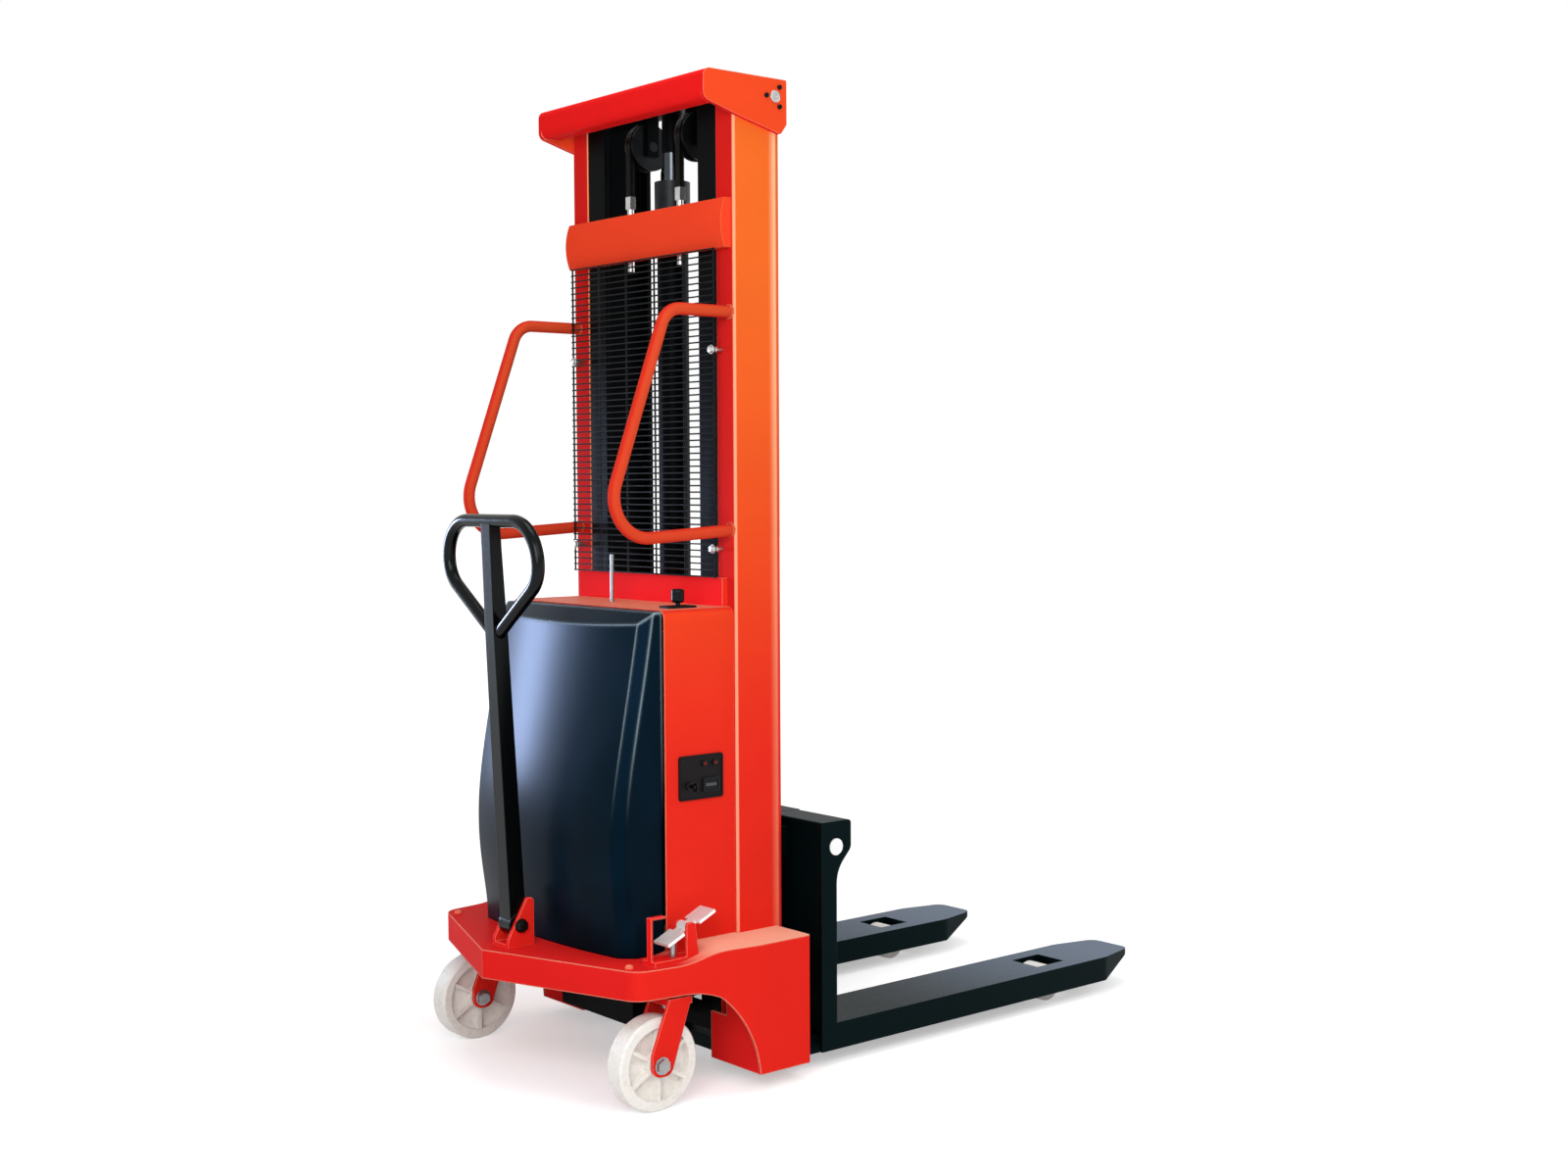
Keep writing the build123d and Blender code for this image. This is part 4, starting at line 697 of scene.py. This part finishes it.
def chain_bends():
    # Over the sheaves: the same links laid round half a turn.
    low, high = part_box("chain_wraps")
    x = high[0] - CHAIN_HALF
    axle = Vector((x, (low[1] + high[1]) / 2, low[2]))
    links = 9
    step = math.pi / links
    pitch = 2 * SHEAVE_RADIUS * math.sin(step / 2)
    y, z = axle.y + SHEAVE_RADIUS, axle.z - pitch / 2
    around = []
    for number in range(links):
        plates = NARROW_PLATES if number % 2 else WIDE_PLATES
        turn = Matrix.Rotation((number + 0.5) * step, 4, "X")
        place = Matrix.Translation(axle) @ turn @ Matrix.Translation(-axle)
        for item in (leaf_link(x, y, z, pitch, plates), leaf_pin(x, y, z)):
            item.data.transform(place)
            around.append(item)
    bend = join(*around)
    fit(on_both_sides(bend), "leaf_chain_bend", "inner_mast", CHAIN, "chain_steel", "chain_wraps")


def gathered(height, rest, travel):
    # The height at rest of a point that a blend over the rest length lifts to this height.
    if height <= 0:
        return height
    if height >= rest + travel:
        return height - travel
    bottom, top = 0.0, rest
    halvings = 40
    for halving in range(halvings):
        middle = (bottom + top) / 2
        share = middle / rest
        lifted = middle + travel * share * share * (3 - 2 * share)
        if lifted < height:
            bottom = middle
        else:
            top = middle
    return (bottom + top) / 2


def rear_chains():
    # From the anchors up to the sheaves: the run is drawn out as the inner mast rises, so its
    # links are made at their full length and then gathered into the height they have at rest.
    low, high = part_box("chain_rear_runs")
    x = high[0] - CHAIN_HALF
    y = (low[1] + high[1]) / 2
    rest = high[2] - low[2]
    travel = reach_of("mast_lift")
    pairs = 42
    pitch = (rest + travel) / pairs / 2
    run = repeat(leaf_pair(x, y, low[2], pitch), pairs, (0, 0, 2 * pitch))
    run = on_both_sides(run)
    for vertex in run.data.vertices:
        vertex.co.z = low[2] + gathered(vertex.co.z - low[2], rest, travel)
    run = fit(run, "leaf_chain_rear", None, CHAIN, "chain_steel", "chain_rear_runs")
    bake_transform(run)


def thrust_pads():
    # Turned pads that steady the inner mast, each in a ring of three socket screws.
    low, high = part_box("thrust_adjusters")
    ring, screw, pad, pad_depth = 22 * MM, 4 * MM, 12 * MM, 12 * MM
    y = low[1] + ring + screw
    z = (low[2] + high[2]) / 2
    face = high[0] - 1 * MM
    button = start_round("button", (face - pad_depth, y, z), (face, y, z), pad, sides=32)
    chamfer_end(button, (face, y, z), OUT, width=1.2 * MM, segments=3)
    sink_end(button, (face, y, z), OUT, rim=5.5 * MM, depth=1.5 * MM)
    fit(on_both_sides(button), "thrust_pads", "frame", ZINC, "steel", "thrust_adjusters")
    head_radius, head_height = screw + 0.8 * MM, 5 * MM
    heads = []
    for angle in (60, 180, 300):
        turn = math.radians(angle)
        top = Vector((high[0], y + ring * math.cos(turn), z + ring * math.sin(turn)))
        foot = top - head_height * Vector(OUT)
        head = start_round("head", foot, top, head_radius, sides=18)
        chamfer_end(head, top, OUT)
        sink_end(head, top, OUT, rim=1.9 * MM, depth=2.4 * MM)
        heads.append(head)
    fit(on_both_sides(join(*heads)), "thrust_screws", "frame", BLACKENED, "steel")


def axle_nuts(side):
    # The nuts and stud ends on a caster's axle.
    low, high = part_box("caster_wheel_" + side)
    middle = (Vector(low) + Vector(high)) / 2
    y, z = middle.y, middle.z
    across, nut_height = 26 * MM, 9.6 * MM
    washer, washer_height, bedded = 17 * MM, 2 * MM, 0.2 * MM
    cheek = middle.x + (high[0] - low[0]) / 2 + WHEEL_TO_CHEEK
    nut_top, washer_top = cheek + nut_height, cheek + washer_height
    nut = hex_head((cheek, y, z), (nut_top, y, z), across)
    sink_end(nut, (nut_top, 0, 0), OUT, rim=3.2 * MM, depth=0.5 * MM)
    ring = start_round("ring", (cheek - bedded, y, z), (washer_top, y, z), washer, sides=32)
    chamfer_end(ring, (washer_top, 0, 0), OUT)
    outer = join(nut, ring)
    half_turn = Matrix.Rotation(math.pi, 4, "Z")
    inner = copy_of(outer, Matrix.Translation(middle) @ half_turn @ Matrix.Translation(-middle))
    fit(join(outer, inner), "axle_nuts_" + side, "caster_fork_" + side, STEEL, "steel")


def instrument_panel():
    # Moulded panel with a raised rim and four pan-head screws.
    low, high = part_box("control_panel")
    rim_height, inset, screw_radius = 1.6 * MM, 8 * MM, 2.8 * MM
    plate = start_block("plate", low, high)
    round_along(plate, X, radius=5 * MM, segments=4)
    chamfer_end(plate, high, OUT, width=0.8 * MM)
    sink_end(plate, high, OUT, rim=2.4 * MM, depth=rim_height)
    fit(plate, "panel_plate", "frame", PANEL, "dark_plastic", "control_panel")
    sunk = high[0] - rim_height
    screw_foot, screw_top = sunk - 1 * MM, sunk + 1.4 * MM
    y, z = low[1] + inset, low[2] + inset
    screw = start_round("screw", (screw_foot, y, z), (screw_top, y, z), screw_radius, sides=16)
    chamfer_end(screw, (screw_top, 0, 0), OUT, width=0.9 * MM, segments=3)
    repeat(screw, 2, (0, high[1] - low[1] - 2 * inset, 0))
    repeat(screw, 2, (0, 0, high[2] - low[2] - 2 * inset))
    fit(screw, "panel_screws", "frame", BLACKENED, "steel")


def battery_gauge():
    # Charge gauge: a bezel round a smoked window, with a row of plain bars on it.
    low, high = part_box("battery_gauge")
    bezel_foot, bezel_top, bezel_depth = low[0] - 2 * MM, high[0] + 1 * MM, 1.8 * MM
    bezel = start_block("bezel", (bezel_foot, low[1], low[2]), (bezel_top, high[1], high[2]))
    round_along(bezel, X, radius=4 * MM, segments=4)
    chamfer_end(bezel, (bezel_top, 0, 0), OUT, width=0.8 * MM)
    sink_end(bezel, (bezel_top, 0, 0), OUT, rim=3 * MM, depth=bezel_depth)
    fit(bezel, "gauge_bezel", "frame", CASE, "dark_plastic", "battery_gauge")
    back = bezel_top - bezel_depth
    edge, window_foot, window_top = 4.4 * MM, back - 0.6 * MM, back + 0.5 * MM
    window = start_block("window", (window_foot, low[1] + edge, low[2] + edge),
                         (window_top, high[1] - edge, high[2] - edge))
    round_along(window, X, radius=1.5 * MM, segments=3)
    fit(window, "gauge_window", "frame", GLASS, "dark_plastic")
    bars, bar_share, bar_foot, bar_top = 8, 0.6, back + 0.3 * MM, back + 0.7 * MM
    side_margin, end_margin = 7 * MM, 11 * MM
    pitch = (high[1] - low[1] - 2 * side_margin) / bars
    first = low[1] + side_margin
    bar = start_block("bar", (bar_foot, first, low[2] + end_margin),
                      (bar_top, first + pitch * bar_share, high[2] - end_margin))
    round_along(bar, X, radius=0.5 * MM, segments=2)
    repeat(bar, bars, (0, pitch, 0))
    fit(bar, "gauge_bars", "frame", SCALE_INK, "dark_plastic")


def indicator_lamps():
    # Two lamps: a domed lens in a turned ring.
    low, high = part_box("indicator_lamps")
    radius = (high[2] - low[2]) / 2
    z = low[2] + radius
    first, second = low[1] + radius, high[1] - radius
    face = low[0]
    lens_radius, lens_middle, lens_foot = radius - 0.8 * MM, face + 1.5 * MM, face + 0.5 * MM
    clear_selection()
    bpy.ops.mesh.primitive_uv_sphere_add(segments=20, ring_count=12, radius=lens_radius,
                                         location=(lens_middle, first, z))
    lens = settle("lens")
    edit(lens, "FACE", lambda middle, normal: True)
    bpy.ops.mesh.bisect(plane_co=(lens_foot, 0, 0), plane_no=OUT, use_fill=True,
                        clear_inner=True)
    clear_selection()
    repeat(lens, 2, (0, second - first, 0))
    fit(lens, "lamp_lenses", "frame", LENS, "lamp", "indicator_lamps")
    ring_foot, ring_top, ring_radius = face - 2.5 * MM, face + 2 * MM, radius + 1.5 * MM
    ring = start_round("ring", (ring_foot, first, z), (ring_top, first, z), ring_radius)
    chamfer_end(ring, (ring_top, 0, 0), OUT, width=0.8 * MM)
    sink_end(ring, (ring_top, 0, 0), OUT, rim=1.4 * MM, depth=1.6 * MM)
    repeat(ring, 2, (0, second - first, 0))
    fit(ring, "lamp_rings", "frame", BLACKENED, "steel")


def key_switch():
    # Blackened lock barrel with a key in it, the key's bow pierced for a ring.
    low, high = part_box("key_switch")
    y, z = (low[1] + high[1]) / 2, (low[2] + high[2]) / 2
    radius = (high[2] - low[2]) / 2
    face = low[0] + 6 * MM
    barrel = start_round("barrel", (low[0], y, z), (face, y, z), radius, sides=32)
    chamfer_end(barrel, (face, y, z), OUT, width=1.2 * MM, segments=3)
    sink_end(barrel, (face, y, z), OUT, rim=2.6 * MM, depth=1.2 * MM)
    bow_foot, bow_half, bow_thick = high[0] - 14 * MM, 8 * MM, 1.2 * MM
    bow = start_block("bow", (bow_foot, y - bow_thick, z - bow_half),
                      (high[0], y + bow_thick, z + bow_half))
    round_along(bow, Y, radius=5.5 * MM, segments=4)
    pierce(bow, Y, rim=4.2 * MM)
    blade_foot, blade_top = face - 3 * MM, high[0] - 13 * MM
    blade_half, blade_thick = 3.5 * MM, 1 * MM
    blade = start_block("blade", (blade_foot, y - blade_thick, z - blade_half),
                        (blade_top, y + blade_thick, z + blade_half))
    round_along(blade, X, radius=0.4 * MM, segments=1)
    fit(join(barrel, bow, blade), "lock_and_key", "key_switch", BLACKENED, "steel", "key_switch")


def tiller_bolt():
    # Hinge bolt of the tiller: hex head, nut and washers outside the lugs.
    low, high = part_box("tiller_pin")
    y, z = (low[1] + high[1]) / 2, (low[2] + high[2]) / 2
    across, washer, thread, bedded = 22 * MM, 14 * MM, 9.9 * MM, 0.2 * MM
    lug, head_top = high[0] - 5 * MM, high[0] + 4 * MM
    washer_top = lug + 1.6 * MM
    shank = start_round("shank", (-lug, y, z), (lug, y, z), thread)
    chamfer_end(shank, (lug, y, z), OUT)
    ring = start_round("ring", (lug - bedded, y, z), (washer_top, y, z), washer, sides=32)
    chamfer_end(ring, (washer_top, y, z), OUT)
    head = hex_head((washer_top, y, z), (head_top, y, z), across)
    sink_end(head, (head_top, y, z), OUT, rim=2.4 * MM, depth=-0.8 * MM)
    ends = on_both_sides(join(head, ring))
    fit(join(shank, ends), "tiller_hinge_bolt", "frame", BLACKENED, "steel", "tiller_pin")


def lever_gate():
    # Rubber plate round the control lever's slot, with a rounded lip.
    low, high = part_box("control_lever")
    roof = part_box("power_housing")[1][2]
    x, y = (low[0] + high[0]) / 2, (low[1] + high[1]) / 2
    half_x, half_y, thick, bedded = 22 * MM, 34 * MM, 4 * MM, 0.5 * MM
    gate = start_block("gate", (x - half_x, y - half_y, roof - bedded),
                       (x + half_x, y + half_y, roof + thick))
    round_along(gate, Z, radius=9 * MM, segments=5)
    chamfer_end(gate, (0, 0, roof + thick), UP, width=1.5 * MM, segments=3)
    pierce(gate, Z, rim=10 * MM)
    fit(gate, "lever_gate", "frame", RUBBER, "dark_plastic")


def handle_welds():
    # Uneven weld beads where the grab handles meet the columns.
    low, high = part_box("grab_handle_right")
    tube, bead_radius, sunk, first_seed = 12 * MM, 2.6 * MM, 0.6 * MM, 3
    x = (low[0] + high[0]) / 2
    beads = []
    for number, z in enumerate((high[2] - tube, HANDLE_FOOT)):
        clear_selection()
        bpy.ops.mesh.primitive_torus_add(major_segments=36, minor_segments=8,
                                         major_radius=tube + 0.8 * MM, minor_radius=bead_radius,
                                         location=(x, high[1] - sunk, z),
                                         rotation=(math.pi / 2, 0, 0))
        bead = settle("bead")
        edit(bead, "FACE", lambda middle, normal: True)
        bpy.ops.transform.vertex_random(offset=0.5 * MM, seed=number + first_seed)
        clear_selection()
        beads.append(bead)
    fit(on_both_sides(join(*beads)), "handle_welds", "frame", HANDLE_RED, "red_paint")


def deck_bolts():
    # Enamelled round-head bolts at the deck's rear corners, in a pale orange red that is a painted
    # highlight.
    x, y = DECK_BOLT
    foot, top, radius = DECK_TOP - 1 * MM, DECK_TOP + 6 * MM, 8 * MM
    bolt = start_round("bolt", (x, y, foot), (x, y, top), radius)
    chamfer_end(bolt, (x, y, top), UP, width=3.5 * MM, segments=4)
    sink_end(bolt, (x, y, top), UP, rim=1.6 * MM, depth=1.5 * MM)
    fit(on_both_sides(bolt), "deck_bolts", "frame", BOLT_RED_HIGHLIGHT, "red_paint")


guard_wires()
guard_bolts()
front_chains()
chain_bends()
rear_chains()
thrust_pads()
for side in ("left", "right"):
    axle_nuts(side)
instrument_panel()
battery_gauge()
indicator_lamps()
key_switch()
tiller_bolt()
lever_gate()
handle_welds()
deck_bolts()


def seen_share(material):
    # 1 for a ray from the camera, a mirror or a window, 0 for one that carries light.
    path = add_node(material, "LightPath")
    either = add_node(material, "Math", {0: path["Is Camera Ray"], 1: path["Is Glossy Ray"]},
                      operation="MAXIMUM")["Value"]
    return add_node(material, "Math", {0: either, 1: path["Is Transmission Ray"]},
                    operation="MAXIMUM")["Value"]


def paper_floor():
    # White paper that brightens away from the object, so that it runs out into the world.
    clear_selection()
    bpy.ops.mesh.primitive_plane_add(size=60)
    floor = bpy.context.active_object
    floor.name = "floor"
    material, place = start_material("white_paper_floor")
    tone = add_node(material, "TexNoise",
                    {"Vector": place, "Scale": per_metre(900), "Detail": 2.0})["Fac"]
    colour = add_node(material, "Mix",
                      {"Factor": tone, FIRST: linear("#F3F3F3"), SECOND: linear("#F7F7F7")},
                      data_type="RGBA")[MIXED]
    reach = add_node(material, "VectorMath", {0: place}, operation="LENGTH")["Value"]
    away = add_node(material, "MapRange",
                    {"Value": reach, "From Min": 1.2, "From Max": 5.0, "To Min": 0.42,
                     "To Max": 0.9}, interpolation_type="SMOOTHSTEP")["Result"]
    lift = add_node(material, "Math", {0: seen_share(material), 1: away},
                    operation="MULTIPLY")["Value"]
    floor.data.materials.append(end_material(material, {
        "Base Color": colour, "Roughness": 0.9, "Specular IOR Level": 0.0,
        "Emission Color": linear(WHITE), "Emission Strength": lift,
    }))


def white_world():
    # White to the eye, and a dimmer white light on the object.
    world = bpy.data.worlds.new("studio")
    bpy.context.scene.world = world
    world.use_nodes = True
    glow = add_node(world, "MapRange",
                    {"Value": seen_share(world), "To Min": 0.36, "To Max": 1.0})["Result"]
    background = world.node_tree.nodes["Background"]
    background.inputs["Color"].default_value = linear(WHITE)
    world.node_tree.links.new(glow, background.inputs["Strength"])


def soft_lamp(name, place, target, width, height, power, spread=180, tint=WHITE):
    lamp = bpy.data.lights.new(name, "AREA")
    lamp.shape = "RECTANGLE"
    lamp.size = width
    lamp.size_y = height
    lamp.energy = power
    lamp.spread = math.radians(spread)
    lamp.color = linear(tint)[:3]
    holder = bpy.data.objects.new(name, lamp)
    bpy.context.scene.collection.objects.link(holder)
    holder.location = place
    aim = Vector(target) - Vector(place)
    holder.rotation_euler = aim.to_track_quat("-Z", "Y").to_euler()


def studio():
    # A soft lamp on each side and above, and a narrow cool one that grazes the hood.
    paper_floor()
    white_world()
    mast, hood = (0, -0.2, 0.9), (-0.10, -0.62, 0.80)
    soft_lamp("key", (3.4, -0.9, 2.7), mast, width=2.0, height=2.0, power=29)
    soft_lamp("fill", (2.1, -2.75, 1.9), mast, width=1.6, height=1.6, power=54)
    soft_lamp("hood", (-1.80, -1.35, 1.0), hood, width=0.4, height=0.9, power=2.7, spread=32,
              tint="#C4D8FF")
    soft_lamp("top", (0.5, -0.5, 4.2), mast, width=2.0, height=2.0, power=40)
    soft_lamp("front", (1.0, 3.6, 1.3), mast, width=1.0, height=2.4, power=45)


def camera():
    turn, dip, roll = (math.radians(a) for a in (CAMERA_TURN, CAMERA_DIP, CAMERA_ROLL))
    ahead = Vector((-math.sin(turn) * math.cos(dip), math.cos(turn) * math.cos(dip),
                    -math.sin(dip)))
    right = Vector((math.cos(turn), math.sin(turn), 0))
    up = right.cross(ahead)
    side = right * math.cos(roll) + up * math.sin(roll)
    top = up * math.cos(roll) - right * math.sin(roll)
    data = bpy.data.cameras.new("camera")
    data.sensor_width = SENSOR_WIDTH
    data.lens = FOCAL_PIXELS / IMAGE_WIDTH * SENSOR_WIDTH
    data.clip_end = CAMERA_REACH
    holder = bpy.data.objects.new("camera", data)
    bpy.context.scene.collection.objects.link(holder)
    turned = Matrix((side, top, -ahead)).transposed().to_4x4()
    holder.matrix_world = Matrix.Translation(CAMERA_PLACE) @ turned
    bpy.context.scene.camera = holder


studio()
camera()
bpy.context.scene.view_settings.view_transform = "Standard"
